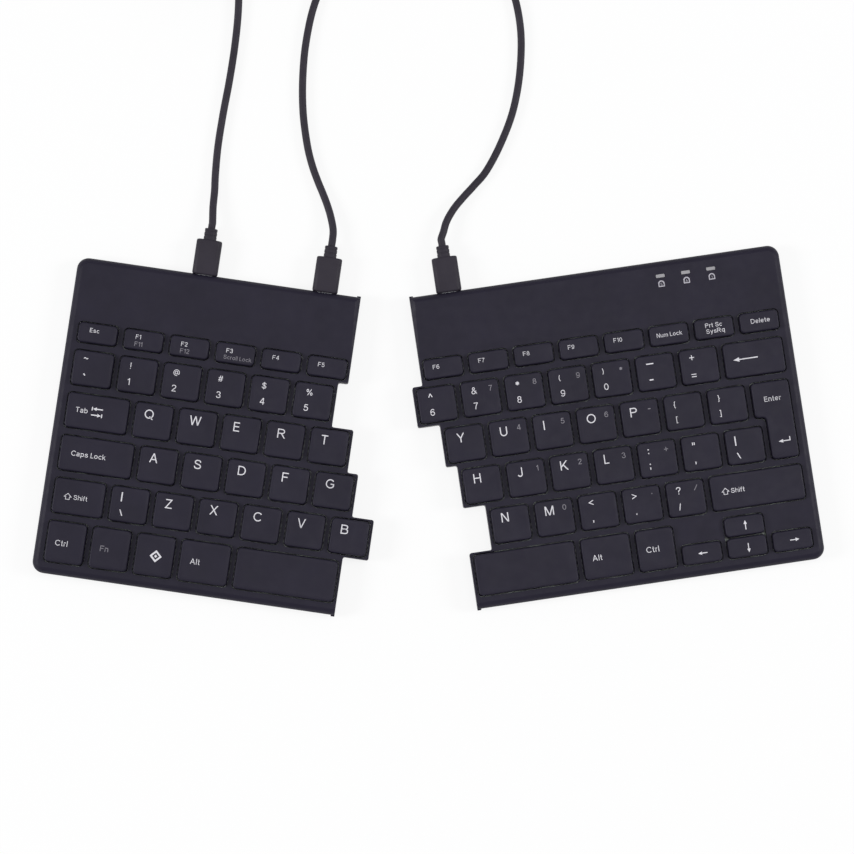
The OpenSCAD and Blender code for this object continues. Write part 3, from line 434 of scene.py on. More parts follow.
def smooth(points, cuts):
    p = [np.array(q, float) for q in points]
    n = len(p) - 1
    line = []
    for k in range(n):
        a, b, c, d = p[max(k - 1, 0)], p[k], p[k + 1], p[min(k + 2, n)]
        for t in np.arange(cuts) / cuts:
            line.append(0.5 * (2 * b + (c - a) * t + (2 * a - 5 * b + 4 * c - d) * t ** 2
                               + (3 * b - a - 3 * c + d) * t ** 3))
    return line + [p[n]]


def tube(path, radius, sides=12):
    p = np.array(path)
    along = np.gradient(p, axis=0)
    along /= np.linalg.norm(along, axis=1)[:, None]
    side = np.cross(along, (0, 0, 1))
    side /= np.linalg.norm(side, axis=1)[:, None]
    up = np.cross(side, along)
    turns = [2 * math.pi * k / sides for k in range(sides)]
    solid = Solid()
    solid.loft([[c + radius * (s * math.cos(a) + u * math.sin(a)) for a in turns]
                for c, s, u in zip(p, side, up)])
    return solid


COIL_RINGS = 48
LEAD_CUTS = 6
USB_T = 7.6
USB_OFF = (-40, -2, USB_T / 2 + 0.1)
TAIL_DROP = [
    (0, 0, 0), (-7, 0, -0.3), (-13, -0.2, -1.8), (-19, -0.9, -4.7), (-25, -1.6, -7.8),
    (-30, -1.9, -9.5)
]
coil = [coil_at(i / COIL_RINGS) for i in range(int(COIL_TURNS * COIL_RINGS) + 1)]
usb_at = coil[-1] * (1, 1, 0) + USB_OFF
tail = [coil[-1] + p for p in TAIL_DROP] + [usb_at + (k * CORD_D, 0, 0) for k in (2, 1, 0)]
host_exit = exit_line("left", HOST_X)
lead_in = [coil[0] - (0, k * CORD_D, 0) for k in (2, 1)]
host_path = smooth([*host_exit, *HOST_ROUTE, *lead_in], LEAD_CUTS) + coil
host_path += smooth(tail, LEAD_CUTS)[1:]
left_exit = exit_line("left", LEFT_LINK_X)
right_exit = exit_line("right", RIGHT_LINK_X)
link_path = smooth([*left_exit, *LINK_LEFT, *LINK_RIGHT, *right_exit[::-1]], LEAD_CUTS)

host_cord = make("host_cord", tube(host_path, CORD_D / 2), CORD)
link_cord = make("link_cord", tube(link_path, CORD_D / 2), CORD)

# Plugs: a nose, grip and strain relief in one moulding, and a hollow metal shell in front
GRIP_RINGS = [
    (-0.15, 8.7, 2.8, 1.2), (0.09, 8.8, 2.9, 1.2), (0.1, 10.2, 5.4, 1.9), (0.35, 10.7, 5.9, 2.1),
    (0.8, 11.0, 6.2, 2.2), (14.3, 11.0, 6.2, 2.2), (14.8, 10.9, 6.1, 2.2), (15.08, 10.6, 5.95, 2.3),
    (15.2, 10.1, 5.8, 2.4), (15.25, 5.8, 5.5, 2.4), (15.6, 5.5, 5.5, 2.3), (16.8, 5.5, 5.5, 2.3),
    (16.9, 5.2, 5.2, 2.2), (17.3, 5.2, 5.2, 2.2), (17.4, 5.5, 5.5, 2.3), (18.5, 5.5, 5.5, 2.3),
    (18.6, 5.2, 5.2, 2.2), (19.0, 5.2, 5.2, 2.2), (19.1, 5.45, 5.45, 2.3), (20.0, 5.45, 5.45, 2.3),
    (20.2, 5.1, 5.1, 2.2)
]
SHELL_RINGS = [
    (-4.6, 7.6, 1.7, 0.76), (-5.9, 7.6, 1.7, 0.76), (-5.9, 8.3, 2.4, 1.08), (0.9, 8.3, 2.4, 1.08)
]
USB_GRIP_RINGS = [
    (0.0, 5.2, 5.2, 2.4), (0.4, 6.0, 6.0, 2.6), (2.0, 6.0, 6.0, 2.6), (2.2, 5.3, 5.3, 2.4),
    (2.9, 5.3, 5.3, 2.4), (3.1, 6.0, 6.0, 2.6), (4.6, 6.0, 6.0, 2.6), (4.8, 5.3, 5.3, 2.4),
    (5.5, 5.3, 5.3, 2.4), (5.7, 6.0, 6.0, 2.6), (6.9, 6.2, 6.0, 2.6), (7.0, 12.0, 6.8, 2.6),
    (7.4, 14.6, 7.3, 2.7), (8.2, 15.6, 7.6, 2.8), (26.8, 15.6, 7.6, 2.8), (27.6, 15.2, 7.2, 2.7),
    (28.0, 14.2, 6.4, 2.4)
]
USB_SHELL_RINGS = [
    (28.2, 11.4, 3.9, 0.3), (42.0, 11.4, 3.9, 0.3), (42.0, 12.0, 4.5, 0.5), (27.0, 12.0, 4.5, 0.5)
]
USB_TONGUE_UP = 0.9
USB_TONGUE_RINGS = [(27.0, 11.2, 1.9, 0.2), (40.8, 11.2, 1.9, 0.2), (41.0, 11.0, 1.7, 0.2)]


def along_axis(rings, lift=0.0):
    """Loft of rounded blocks along y: each ring is distance, width, thickness and radius"""
    solid = Solid()
    solid.loft([[(x, y, z + lift) for x, z in box_loop(w, t, r)] for y, w, t, r in rings])
    return solid


def plug(node, half, x):
    def place(p):
        return on_half(half)(p + (level_x(half, x), 0, PLUG_Z))

    grip = make(node + "_grip", along_axis(GRIP_RINGS), CORD, place, angle=50)
    shell = make(node + "_shell", along_axis(SHELL_RINGS), STEEL, place)
    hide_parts(node)
    for obj in (grip, shell):
        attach(obj, half + "_half")


def usb_plug():
    def place(p):
        return np.column_stack((-p[:, 1], p[:, 0], p[:, 2])) + usb_at

    grip = make("host_usb_plug_grip", along_axis(USB_GRIP_RINGS), CORD, place, angle=50)
    shell = make("host_usb_plug_shell", along_axis(USB_SHELL_RINGS), STEEL, place)
    tongue = make("host_usb_plug_tongue", along_axis(USB_TONGUE_RINGS, USB_TONGUE_UP), TONGUE, place)
    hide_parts("host_usb_plug")
    for obj in (grip, shell, tongue):
        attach(obj, "left_half")
    return [grip, shell, tongue]


# Strap round the coil: its section gives thickness and place across
TIE_ANGLE = math.radians(225)
TIE_CORNER = 0.8
TIE_INSIDE, TIE_OUTSIDE, TIE_ABOVE = 0.75, 0.05, 0.3
TIE_SECTION = [
    (0, -3.2), (0.12, -3.5), (0.58, -3.5), (0.7, -3.2), (0.7, 3.2), (0.58, 3.5), (0.12, 3.5),
    (0, 3.2)
]


def tie():
    """Strap that lies close to the turns at its place"""
    heading = np.array((math.cos(TIE_ANGLE), math.sin(TIE_ANGLE)))
    near = math.cos(math.pi / COIL_RINGS)
    arms = [p[:2] - COIL_MIDDLE for p in coil]
    reach = [a @ heading for a in arms if a @ heading > near * np.hypot(*a)]
    inside = min(reach) - CORD_D / 2 - TIE_INSIDE
    outside = max(reach) + CORD_D / 2 + TIE_OUTSIDE
    stack = (COIL_LAYERS - 1) * COIL_STEP
    w, h = outside - inside, stack + CORD_D + 2 * TIE_ABOVE
    loops = [(box_loop(w + 2 * t, h + 2 * t, TIE_CORNER + t), y) for t, y in TIE_SECTION]
    solid = Solid()
    solid.loft([[(x, y, z) for x, z in loop] for loop, y in loops], closed=True)
    c, s = heading

    def place(p):
        x, y = p[:, 0] + (inside + outside) / 2, p[:, 1]
        return np.column_stack((c * x - s * y + COIL_MIDDLE[0], s * x + c * y + COIL_MIDDLE[1],
                                p[:, 2] + COIL_LOW + stack / 2))

    strap_piece = make("coil_strap", solid, STRAP, place, angle=60)
    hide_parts("coil_tie")
    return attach(strap_piece, "left_half")


plug("host_plug", "left", HOST_X)
plug("link_plug_left", "left", LEFT_LINK_X)
plug("link_plug_right", "right", RIGHT_LINK_X)

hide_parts("host_lead", "host_coil")
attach(host_cord, "left_half")
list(usb_plug())
tie()

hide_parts("link_lead")
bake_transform(link_cord)

# Marks on keys: words and signs, each with its place from the key's middle
WHITE, GREY = "white", "grey"


def text(body, u, v, cap, tone=WHITE, left=False):
    return ("text", body, u, v, cap, tone, left)


def sign(kind, u, v):
    return ("sign", kind, u, v, 0, WHITE, False)


LETTER_CAP, FUNCTION_CAP = 4.0, 1.85


def letter(c, left, v, *extra):
    """Letter with the place of its left side, and a grey mark"""
    return [text(c, left, v, LETTER_CAP, left=True), *extra]


def second(c, u=4.6, v=3.6, cap=2.4):
    return text(c, u, v, cap, GREY)


def pair(top, low, *extra):
    """Two marks, each with its place and size, and a grey one"""
    return [text(*top), text(*low), *extra]


def function(n, u, v, below=None):
    return [text(f"F{n}", u, v, FUNCTION_CAP)] + ([below] if below else [])


KEY_W, KEY_D, WEB = 16.84, 15.7, 2.16
FN_W, FN_D = 17.4, 9.2
BOTTOM_D = 18.3
ROW_PITCH = 18.5
SIDE_MARGIN, BAND_D, FN_GAP = 4.6, 27.6, 2.8
LEFT_FN_WEB, RIGHT_FN_WEB = 2.5, 2.25
ENTER_W, ENTER_LOW_W = 17.0, 12.25
ARROW_W = 17.5
LOW_SHIFT = BOTTOM_D - FN_D

Key = namedtuple("Key", "half node x y w d marks")


def row_y(i):
    return -BAND_D - FN_D - FN_GAP - i * ROW_PITCH


def row(half, y, d, web, keys):
    """Keys of a row from the outer edge inwards: each is width, node and marks"""
    x = SIDE_MARGIN
    places = []
    for w, node, marks in keys:
        if node:
            places.append(Key(half, node, level_x(half, x, w), y, w, d, marks))
        x += w + web
    return places


def same(w, node, lists):
    return [(w, node, marks) for marks in lists]


keys = row("left", -BAND_D, FN_D, LEFT_FN_WEB, same(FN_W, "left_function_keys", [
    [text("Esc", -1.4, 1.2, FUNCTION_CAP)],
    function(1, -2.35, 1.25, text("F11", -1.9, -1.85, 1.95, GREY)),
    function(2, -2.3, 1.0, text("F12", -1.75, -1.95, 1.95, GREY)),
    function(3, -2.55, 1.0, text("Scroll Lock", 1.25, -1.85, 1.75, GREY)),
    function(4, -2.45, 0.95), function(5, -2.6, 0.8)
]))
keys += row("left", row_y(0), KEY_D, WEB, [
    (17.64, "left_number_keys", pair(("~", -3.4, 4.15, 2.6), ("`", -3.15, -2.85, 4.4))),
    *same(KEY_W, "left_number_keys", [
        pair(("!", -3.35, 3.8, 2.6), ("1", -3.3, -3.1, 2.9)),
        pair(("@", -2.5, 3.65, 2.25), ("2", -2.7, -3.1, 2.9)),
        pair(("#", -2.45, 3.8, 2.55), ("3", -2.4, -3.15, 2.9)),
        pair(("$", -2.55, 3.55, 2.5), ("4", -2.45, -3.2, 2.9)),
        pair(("%", -1.9, 3.5, 2.5), ("5", -2.5, -3.2, 2.9))])
])
keys += row("left", row_y(1), KEY_D, WEB, [
    (27.14, "tab_key", [text("Tab", -6.65, 0.35, 2.2), sign("tab", -0.05, 0.3)]),
    *same(KEY_W, "left_top_letters", [
        letter("Q", -3.92, 2.65), letter("W", -3.45, 2.85), letter("E", -3.45, 2.8),
        letter("R", -3.42, 2.75), letter("T", -3.5, 2.75)])
])
keys += row("left", row_y(2), KEY_D, WEB, [
    (31.89, "caps_lock_key", [text("Caps Lock", -3.25, -0.2, 2.2)]),
    *same(KEY_W, "left_home_letters", [
        letter("A", -3.78, 2.95), letter("S", -3.58, 2.95), letter("D", -3.56, 3.0),
        letter("F", -3.53, 2.9), letter("G", -3.56, 2.9)])
])
keys += row("left", row_y(3), KEY_D, WEB, [
    (22.39, "left_shift_key", [sign("shift", -4.7, -0.1), text("Shift", 0.8, -0.1, 2.05)]),
    *same(KEY_W, "left_bottom_letters", [
        pair(("|", -3.55, 3.1, 3.3), ("\\", -3.0, -3.7, 2.6)), letter("Z", -3.75, 2.95),
        letter("X", -3.5, 3.05), letter("C", -3.65, 2.95), letter("V", -3.62, 2.85),
        letter("B", -3.82, 2.95)])
])
keys += row("left", row_y(4), BOTTOM_D, WEB, [
    (17.0, "left_ctrl_key", [text("Ctrl", -1.7, -0.45, 2.45)]),
    (17.0, "fn_key", [text("Fn", -2.4, -0.2, 2.45, GREY)]),
    (17.0, "system_key", [sign("system", 0.65, -0.2)]),
    (21.8, "left_alt_key", [text("Alt", -4.0, -0.05, 2.45)]),
    (44.0, "left_space_key", [])
])
keys += row("right", -BAND_D, FN_D, RIGHT_FN_WEB, same(FN_W, "right_function_keys", [
    [text("Delete", 0.5, 0.35, 2.0)],
    [text("Prt Sc", -0.1, 1.35, 1.9), text("SysRq", 0.35, -1.5, 1.9)],
    [text("Num Lock", 0.15, 0.1, 1.8)],
    function(10, -2.6, 0.8), function(9, -3.3, 0.7), function(8, -3.15, 0.75),
    function(7, -3.0, 0.65), function(6, -3.05, 0.7)
]))
keys += row("right", row_y(0), KEY_D, WEB, [
    (26.5, "backspace_key", [sign("backspace", -3.75, 0.15)]),
    *same(KEY_W, "right_number_keys", [
        pair(("+", -2.85, 3.9, 2.9), ("=", -2.95, -3.85, 2.9)),
        pair(("_", -2.1, 3.85, 4.2), ("-", -2.35, -3.05, 4.6)),
        pair((")", -3.55, 3.55, 2.4), ("0", -3.05, -3.15, 2.9), second("*", 4.25, 3.7, 3.2)),
        pair(("(", -3.45, 3.4, 2.45), ("9", -2.9, -3.2, 2.9), second("9")),
        pair(("*", -2.7, 3.8, 3.9), ("8", -2.8, -3.2, 2.9), second("8", 4.7, 3.7)),
        pair(("&", -2.6, 3.4, 3.0), ("7", -2.65, -3.2, 2.9), second("7")),
        pair(("^", -2.5, 4.1, 3.3), ("6", -2.55, -3.25, 2.9))])
])
keys += row("right", row_y(1), KEY_D, WEB, [
    (ENTER_W, None, None),
    *same(KEY_W, "right_top_letters", [
        pair(("}", -3.4, 3.3, 2.4), ("]", -3.65, -3.2, 2.4)),
        pair(("{", -3.8, 3.3, 2.35), ("[", -3.55, -3.2, 2.35)),
        letter("P", -4.1, 2.7, second("-", 4.25, 3.3, 3.2)), letter("O", -4.0, 2.7, second("6")),
        letter("I", -3.8, 2.75, second("5")), letter("U", -3.65, 2.65, second("4")),
        letter("Y", -3.43, 2.7)])
])
keys += row("right", row_y(2), KEY_D, WEB, [
    (ENTER_LOW_W, None, None),
    *same(KEY_W, "right_home_letters", [
        pair(("|", -3.95, 2.65, 3.3), ("\\", -3.3, -3.8, 2.6)),
        pair(('"', -3.0, 4.1, 3.4), ("'", -3.1, -4.2, 3.4)),
        pair((":", -3.6, 3.55, 2.9), (";", -3.65, -3.0, 2.9), second("+", 4.05)),
        letter("L", -4.0, 3.0, second("3")), letter("K", -3.95, 3.0, second("2", 4.6, 3.7)),
        letter("J", -3.6, 2.85, second("1", 5.15, 3.65)), letter("H", -3.58, 2.95)])
])
keys += row("right", row_y(3), KEY_D, WEB, [
    (40.75, "right_shift_key", [sign("shift", -13.85, 0.35), text("Shift", -8.55, 0.35, 2.05)]),
    *same(KEY_W, "right_bottom_letters", [
        pair(("?", -2.9, 3.55, 3.2), ("/", -3.2, -3.4, 2.9), second("÷", 4.65, 3.95)),
        pair((">", -2.95, 3.95, 3.0), (".", -3.05, -3.7, 2.9), second(".", 4.65, 4.1)),
        pair(("<", -2.85, 4.0, 3.0), (",", -2.8, -4.15, 2.9)),
        letter("M", -3.9, 3.2, second("0", 4.6, 3.85)), letter("N", -3.78, 3.15)])
])
keys += row("right", row_y(4), BOTTOM_D, WEB, [
    *[(ARROW_W, None, None)] * 3,
    (16.8, "right_ctrl_key", [text("Ctrl", -1.55, 0.15, 2.55)]),
    (21.6, "right_alt_key", [text("Alt", -4.2, 0.1, 2.5)]),
    (43.9, "right_space_key", [])
])


def arrow_key(node, column, y, d, u, v):
    x = level_x("right", SIDE_MARGIN + column * (ARROW_W + WEB), ARROW_W)
    return Key("right", node, x, y, ARROW_W, d, [sign(node, u, v)])


keys += [
    arrow_key("arrow_right_key", 0, row_y(4) - LOW_SHIFT, FN_D, 0.8, 0),
    arrow_key("arrow_up_key", 1, row_y(4), LOW_SHIFT, 0.45, 0.15),
    arrow_key("arrow_down_key", 1, row_y(4) - LOW_SHIFT, FN_D, 0.4, -0.6),
    arrow_key("arrow_left_key", 2, row_y(4) - LOW_SHIFT, FN_D, 0.25, 0),
    Key("right", "enter_key", level_x("right", SIDE_MARGIN, ENTER_LOW_W), row_y(1), ENTER_LOW_W,
        ROW_PITCH + KEY_D, [text("Enter", -2.05, 9.3, 2.2), sign("enter", 0.35, -9.15)])
]

# Key caps: skirt, leaning sides, a round edge and a shallow dish
KEY_GAP = 0.4
KEY_TOP = 9.6
KEY_UNDER = 8.5
KEY_CORNER = 1.8
CAP_PROFILE = [
    (1.0, KEY_UNDER), (1.0, 5.9), (0.0, 5.9), (0.0, 7.8), (0.18, 8.9), (0.26, 9.2), (0.38, 9.42),
    (0.56, 9.55), (0.8, KEY_TOP)
]
TOP_SCALES = (0.85, 0.6, 0.3)
DISH = 0.15
DOME_TOP = 7.1
RIB_FOOT = 6.5
LOW_KEY_BELOW = 13.5
STEM_R, LOW_STEM_R, STEM_SIDES = 1.5, 1.05, 12
FRAME_REACH, LOW_FRAME_REACH = 4.4, 2.1
RIB_OUT, RIB_L, RIB_T, RIB_R = 0.75, 4.0, 0.4, 0.1
ROOT = 0.4


def key_corners(key):
    """Corners of a cap, anticlockwise, about its middle"""
    a, b = (key.w - KEY_GAP) / 2, (key.d - KEY_GAP) / 2
    corners = [(-a, -b), (a, -b), (a, b), (-a, b)]
    if key.node == "enter_key":
        wide, step = ENTER_W - ENTER_LOW_W, b - (KEY_D - KEY_GAP)
        corners = [(-a, -b), (a, -b), (a, b), (-a - wide, b), (-a - wide, step), (-a, step)]
    return corners


def top_middle(key):
    """Point that a cap's top falls towards"""
    return (0, (key.d - KEY_D) / 2) if key.node == "enter_key" else (0, 0)


def key_middle(key):
    return np.array((key.x + key.w / 2, key.y - key.d / 2, 0))


def dish_at(key, scale):
    return KEY_TOP - (0 if key.node == "enter_key" else DISH) * (1 - scale ** 2)


def add_cap(solid, key):
    corners, middle = key_corners(key), np.array(top_middle(key))
    rings = [[(*p, z) for p in inset_loop(corners, inset, KEY_CORNER)] for inset, z in CAP_PROFILE]
    edge = [np.array(p[:2]) for p in rings[-1]]
    rings += [[(*(middle + s * (p - middle)), dish_at(key, s)) for p in edge] for s in TOP_SCALES]
    cap = Solid()
    cap.loft(rings)
    low = min(key.w, key.d) < LOW_KEY_BELOW
    radius = LOW_STEM_R if low else STEM_R
    turns = np.arange(STEM_SIDES) * 2 * math.pi / STEM_SIDES
    stem = [(radius * math.cos(a), radius * math.sin(a)) for a in turns]
    cap.prism(stem, DOME_TOP, KEY_UNDER + ROOT)
    reach = (LOW_FRAME_REACH if low else FRAME_REACH) + RIB_OUT
    turned = low and key.w < key.d
    for s in (-reach, reach):
        w, d, at = (RIB_T, RIB_L, (s, 0)) if turned else (RIB_L, RIB_T, (0, s))
        rib = [(x + at[0], y + at[1]) for x, y in box_loop(w, d, RIB_R, 1)]
        cap.prism(rib, RIB_FOOT, KEY_UNDER + ROOT)
    solid.add(np.array(cap.points) + key_middle(key), cap.faces)


def top_z(key, u, v):
    """Height of a cap's top at places from its middle"""
    inset = CAP_PROFILE[-1][0]
    a, b = (key.w - KEY_GAP) / 2 - inset, (key.d - KEY_GAP) / 2 - inset
    scale = np.maximum(np.abs(u) / a, np.abs(v) / b)
    steps = [0, *TOP_SCALES[::-1], 1]
    heights = [dish_at(key, s) for s in steps[1:]]
    return np.interp(scale, steps, [heights[0], *heights])


# Marks as thin closed forms, printed on the tops
INK_LOW, INK_HIGH = -0.02, 0.03

# Line type, drawn with capitals ten units high. A glyph is a list of strokes between spaces: plain
# points make a straight or bent line, "~" a smooth line, "/" a slanting bar with level ends, and
# "@" an arc given by its middle, its two radii and its first and last angle.
TYPE = {
    "A": "/.75,0;4.5,10 /8.25,0;4.5,10 2,3.4;7,3.4",
    "B": ".7,0;.7,10 ~.7,9.35;3.9,9.35;6.2,8.9;6.9,7.4;6.2,5.9;3.9,5.35;.7,5.35 "
         "~.7,5.35;4.3,5.35;6.7,4.8;7.4,3;6.7,1.2;4.3,.65;.7,.65",
    "C": "@4.9,5,4.25,4.35,38,322",
    "D": ".7,0;.7,10 .7,9.35;3.7,9.35 @3.6,5,4.3,4.35,90,-90 .7,.65;3.7,.65",
    "E": ".6,0;.6,10 .6,9.4;6.4,9.4 .6,5.2;6,5.2 .6,.6;6.6,.6",
    "F": ".7,0;.7,10 .7,9.35;6.9,9.35 .7,5.1;6,5.1",
    "G": "@4.9,5,4.25,4.35,40,325 5.2,4.65;9.1,4.65 8.45,1.8;8.45,4.65",
    "H": ".7,0;.7,10 7.3,0;7.3,10 .7,5.2;7.3,5.2",
    "I": ".7,0;.7,10",
    "J": "5,10;5,2.8 @2.8,2.9,2.2,2.25,0,-165",
    "K": ".7,0;.7,10 /1,3.4;7.2,10 /3.3,5.6;7.9,0",
    "L": ".6,0;.6,10 .6,.6;5.3,.6",
    "M": ".7,0;.7,10 9.1,0;9.1,10 /.95,10;4.9,0 /8.85,10;4.9,0",
    "N": ".7,0;.7,10 7.3,0;7.3,10 /.9,10;7.1,0",
    "O": "@5,5,4.3,4.35,0,360",
    "P": ".7,0;.7,10 .7,9.35;4.4,9.35 @4.4,7.15,2.6,2.2,90,-90 .7,4.95;4.4,4.95",
    "Q": "@5,5,4.3,4.35,0,360 /5.8,2.6;8.9,-.7",
    "R": ".7,0;.7,10 .7,9.35;4.8,9.35 @4.8,7.2,2.6,2.15,90,-90 .7,5.05;4.8,5.05 /4.3,5;8.1,0",
    "S": "~7,7.2;6.2,8.8;4,9.35;1.9,8.8;1.2,7.4;2,6;4.1,5.25;6.3,4.5;7.3,2.9;6.6,1.3;4.2,.65;"
         "1.7,1.3;.7,3.1",
    "T": "3.5,0;3.5,10 0,9.4;7,9.4",
    "U": ".7,10;.7,3.8 7.3,10;7.3,3.8 @4,3.9,3.3,3.25,180,360",
    "V": "/.75,10;4.4,0 /8.05,10;4.4,0",
    "W": "/.75,10;3.4,0 /6.3,10;3.4,0 /6.3,10;9.2,0 /11.85,10;9.2,0",
    "X": "/.8,0;7.9,10 /.8,10;7.9,0",
    "Y": "/.8,10;4.35,4.4 /7.9,10;4.35,4.4 4.35,0;4.35,4.8",
    "Z": ".4,9.35;7.3,9.35 .1,.65;7.5,.65 /.9,.6;6.7,9.4",
    "0": "@3.4,5,2.7,4.35,0,360",
    "1": "3.1,0;3.1,10 .6,7.2;3,9.4",
    "2": "~.8,7.2;1.4,8.8;3.4,9.35;5.4,8.8;6,7.2;5.2,5.3;2.6,2.9;.9,.65 .4,.65;6.6,.65",
    "3": "~.8,7.5;1.6,8.9;3.3,9.35;5.1,8.8;5.7,7.4;5,5.9;2.9,5.3 "
         "~2.9,5.3;5.2,4.8;6.2,2.9;5.4,1.2;3.3,.65;1.4,1.2;.6,2.8",
    "4": "5,0;5,10 0,2.9;6.9,2.9 /.6,3;4.7,9.9",
    "5": "~.7,2.6;1.6,1.1;3.4,.65;5.5,1.4;6.2,3.4;5.5,5.4;3.4,6.2;1.9,5.7;1.1,4.9 1.2,4.8;2,9.9 "
         "1.7,9.35;6,9.35",
    "6": "@3.4,3.3,2.7,2.65,0,360 ~5.9,7.6;5.2,8.9;3.5,9.35;1.6,8.2;.75,5.6;.7,3.4",
    "7": ".3,9.35;6.6,9.35 ~6.2,9.2;4.2,6.3;2.9,3.2;2.4,0",
    "8": "@3.4,7.3,2.3,2.05,0,360 @3.4,2.95,2.7,2.3,0,360",
    "9": "@3.4,6.7,2.7,2.65,0,360 ~.9,2.4;1.6,1.1;3.3,.65;5.2,1.8;6.05,4.4;6.1,6.6",
    "a": "~.9,5.4;1.7,6.3;3.4,6.55;5,6.1;5.5,4.8;5.5,1.6;6,0 "
         "~5.5,4;3.4,3.5;1.4,3.1;.7,1.9;1.3,.9;2.7,.6;4.6,1.1;5.5,2.4",
    "b": ".7,0;.7,10 @3.4,3.6,2.7,3,0,360",
    "c": "@3.4,3.6,2.75,3,40,320",
    "e": "@3.4,3.6,2.75,3,5,320 .7,3.7;6.2,3.7",
    "f": "1.7,0;1.7,8.2 ~1.7,8;2.1,9.2;3.7,9.35 .1,6.55;3.4,6.55",
    "h": ".7,0;.7,10 ~.7,4.6;1.6,6.1;3.4,6.6;5.1,6;5.5,4.5;5.5,0",
    "i": ".7,0;.7,7.2 .7,8.7;.7,10",
    "k": ".7,0;.7,10 /1,2.6;5.3,7.2 /2.6,4;6,0",
    "l": ".7,0;.7,10",
    "m": ".7,0;.7,7.2 ~.7,4.8;1.5,6.1;3,6.6;4.5,6;4.9,4.6;4.9,0 "
         "~4.9,4.8;5.7,6.1;7.2,6.6;8.7,6;9.1,4.6;9.1,0",
    "n": ".7,0;.7,7.2 ~.7,4.6;1.6,6.1;3.4,6.6;5.1,6;5.5,4.5;5.5,0",
    "o": "@3.4,3.6,2.75,3,0,360",
    "p": ".7,-2.9;.7,7.2 @3.4,3.6,2.7,3,0,360",
    "q": "6.1,-2.9;6.1,7.2 @3.4,3.6,2.7,3,0,360",
    "r": ".7,0;.7,7.2 ~.7,4.4;1.4,6.1;3.4,6.5",
    "s": "~5.3,5.2;4.5,6.3;3,6.55;1.4,6.1;1,5;1.8,4.1;3.3,3.7;5,3.1;5.6,1.9;4.8,.9;3.1,.6;"
         "1.3,1;.6,2.2",
    "t": "1.7,9.4;1.7,1.8 ~1.7,2;2.1,.8;3.5,.65 .1,6.55;3.4,6.55",
    "u": "~.7,7.2;.7,2.6;1.3,1.1;3,.6;4.8,1.2;5.5,2.8 5.5,0;5.5,7.2",
    "y": "/.7,7.2;3.2,.2 ~5.7,7.2;3.3,.4;2.4,-1.6;.8,-2.2",
    "~": "~.3,4.4;1.5,5.9;3,5.8;4.4,4.6;5.8,4.4;7,5.9",
    "`": ".5,9.6;2,7.9",
    "!": ".8,2.8;.8,10 .8,0;.8,1.4",
    "@": "@6,4.6,5.4,5.5,-40,290 @5.6,4.7,2.3,2.7,0,360 8.1,7.4;7.6,3 ~7.6,3;8.4,2.2;9.9,2.8",
    "#": "/1.4,0;3.2,10 /4.6,0;6.4,10 .2,6.6;7.4,6.6 0,3.2;7.1,3.2",
    "$": "~7,7.2;6.2,8.8;4,9.35;1.9,8.8;1.2,7.4;2,6;4.1,5.25;6.3,4.5;7.3,2.9;6.6,1.3;4.2,.65;"
         "1.7,1.3;.7,3.1 4,-1.2;4,11.2",
    "%": "@2,7.6,1.5,2,0,360 @8.6,2.4,1.5,2,0,360 /2.6,-.3;8,10.3",
    "^": "/.8,5;3,10 /5.2,5;3,10",
    "&": "~7.6,.5;3.2,6;2.2,7.8;3,9.2;4.4,9.3;5.2,8;4.4,6.4;1.8,4.6;.8,2.6;1.8,.9;3.6,.65;"
         "5.6,2;6.8,4.8",
    "*": "2.6,5.9;2.6,10 .8,9;4.4,6.9 .8,6.9;4.4,9",
    "(": "@4.6,3.6,3.9,6.8,128,232",
    ")": "@-1.2,3.6,3.9,6.8,-52,52",
    "_": "0,0;7.5,0",
    "-": "0,3.6;3.6,3.6",
    "+": "0,4.6;7.4,4.6 3.7,.9;3.7,8.3",
    "=": "0,6.4;7.4,6.4 0,2.9;7.4,2.9",
    "{": "~3.6,9.4;2.4,9;2,7.6;2,5.4;1.6,4.2;.5,3.6;1.6,3;2,1.8;2,-.4;2.4,-1.8;3.6,-2.2",
    "}": "~.4,9.4;1.6,9;2,7.6;2,5.4;2.4,4.2;3.5,3.6;2.4,3;2,1.8;2,-.4;1.6,-1.8;.4,-2.2",
    "[": ".7,-2.6;.7,10 .7,9.4;3,9.4 .7,-2;3,-2",
    "]": "2.3,-2.6;2.3,10 0,9.4;2.3,9.4 0,-2;2.3,-2",
    "|": ".6,-2.4;.6,10 1.1,-2.4;1.1,10",
    "\\": "/.6,10;5,0 /1.2,10;5.6,0",
    "/": "/.6,0;2.8,10",
    "÷": "/.6,0;6.4,9.4",
    ":": "0,.57;1.7,.57 0,1.13;1.7,1.13 0,6.07;1.7,6.07 0,6.63;1.7,6.63",
    ";": "0,6.07;1.7,6.07 0,6.63;1.7,6.63 0,.57;1.7,.57 0,1.13;1.7,1.13 1.1,.5;.5,-1.7",
    '"': ".6,6.6;.6,10 2.9,6.6;2.9,10",
    "'": ".6,6.6;.6,10",
    "<": "7,7.6;.9,4.4;7,1.2",
    ">": ".6,7.6;6.7,4.4;.6,1.2",
    ",": "0,.57;1.7,.57 0,1.13;1.7,1.13 1.1,.5;.5,-1.8",
    ".": "0,.57;1.7,.57 0,1.13;1.7,1.13",
    "?": "~.8,7.2;1.5,8.8;3.4,9.35;5.3,8.7;5.9,7.2;5.2,5.8;3.7,4.6;3.4,2.9 3.4,0;3.4,1.4",
}
LINE_WIDTH = 1.15
LETTER_GAP = 1.7
WORD_GAP = 3.6


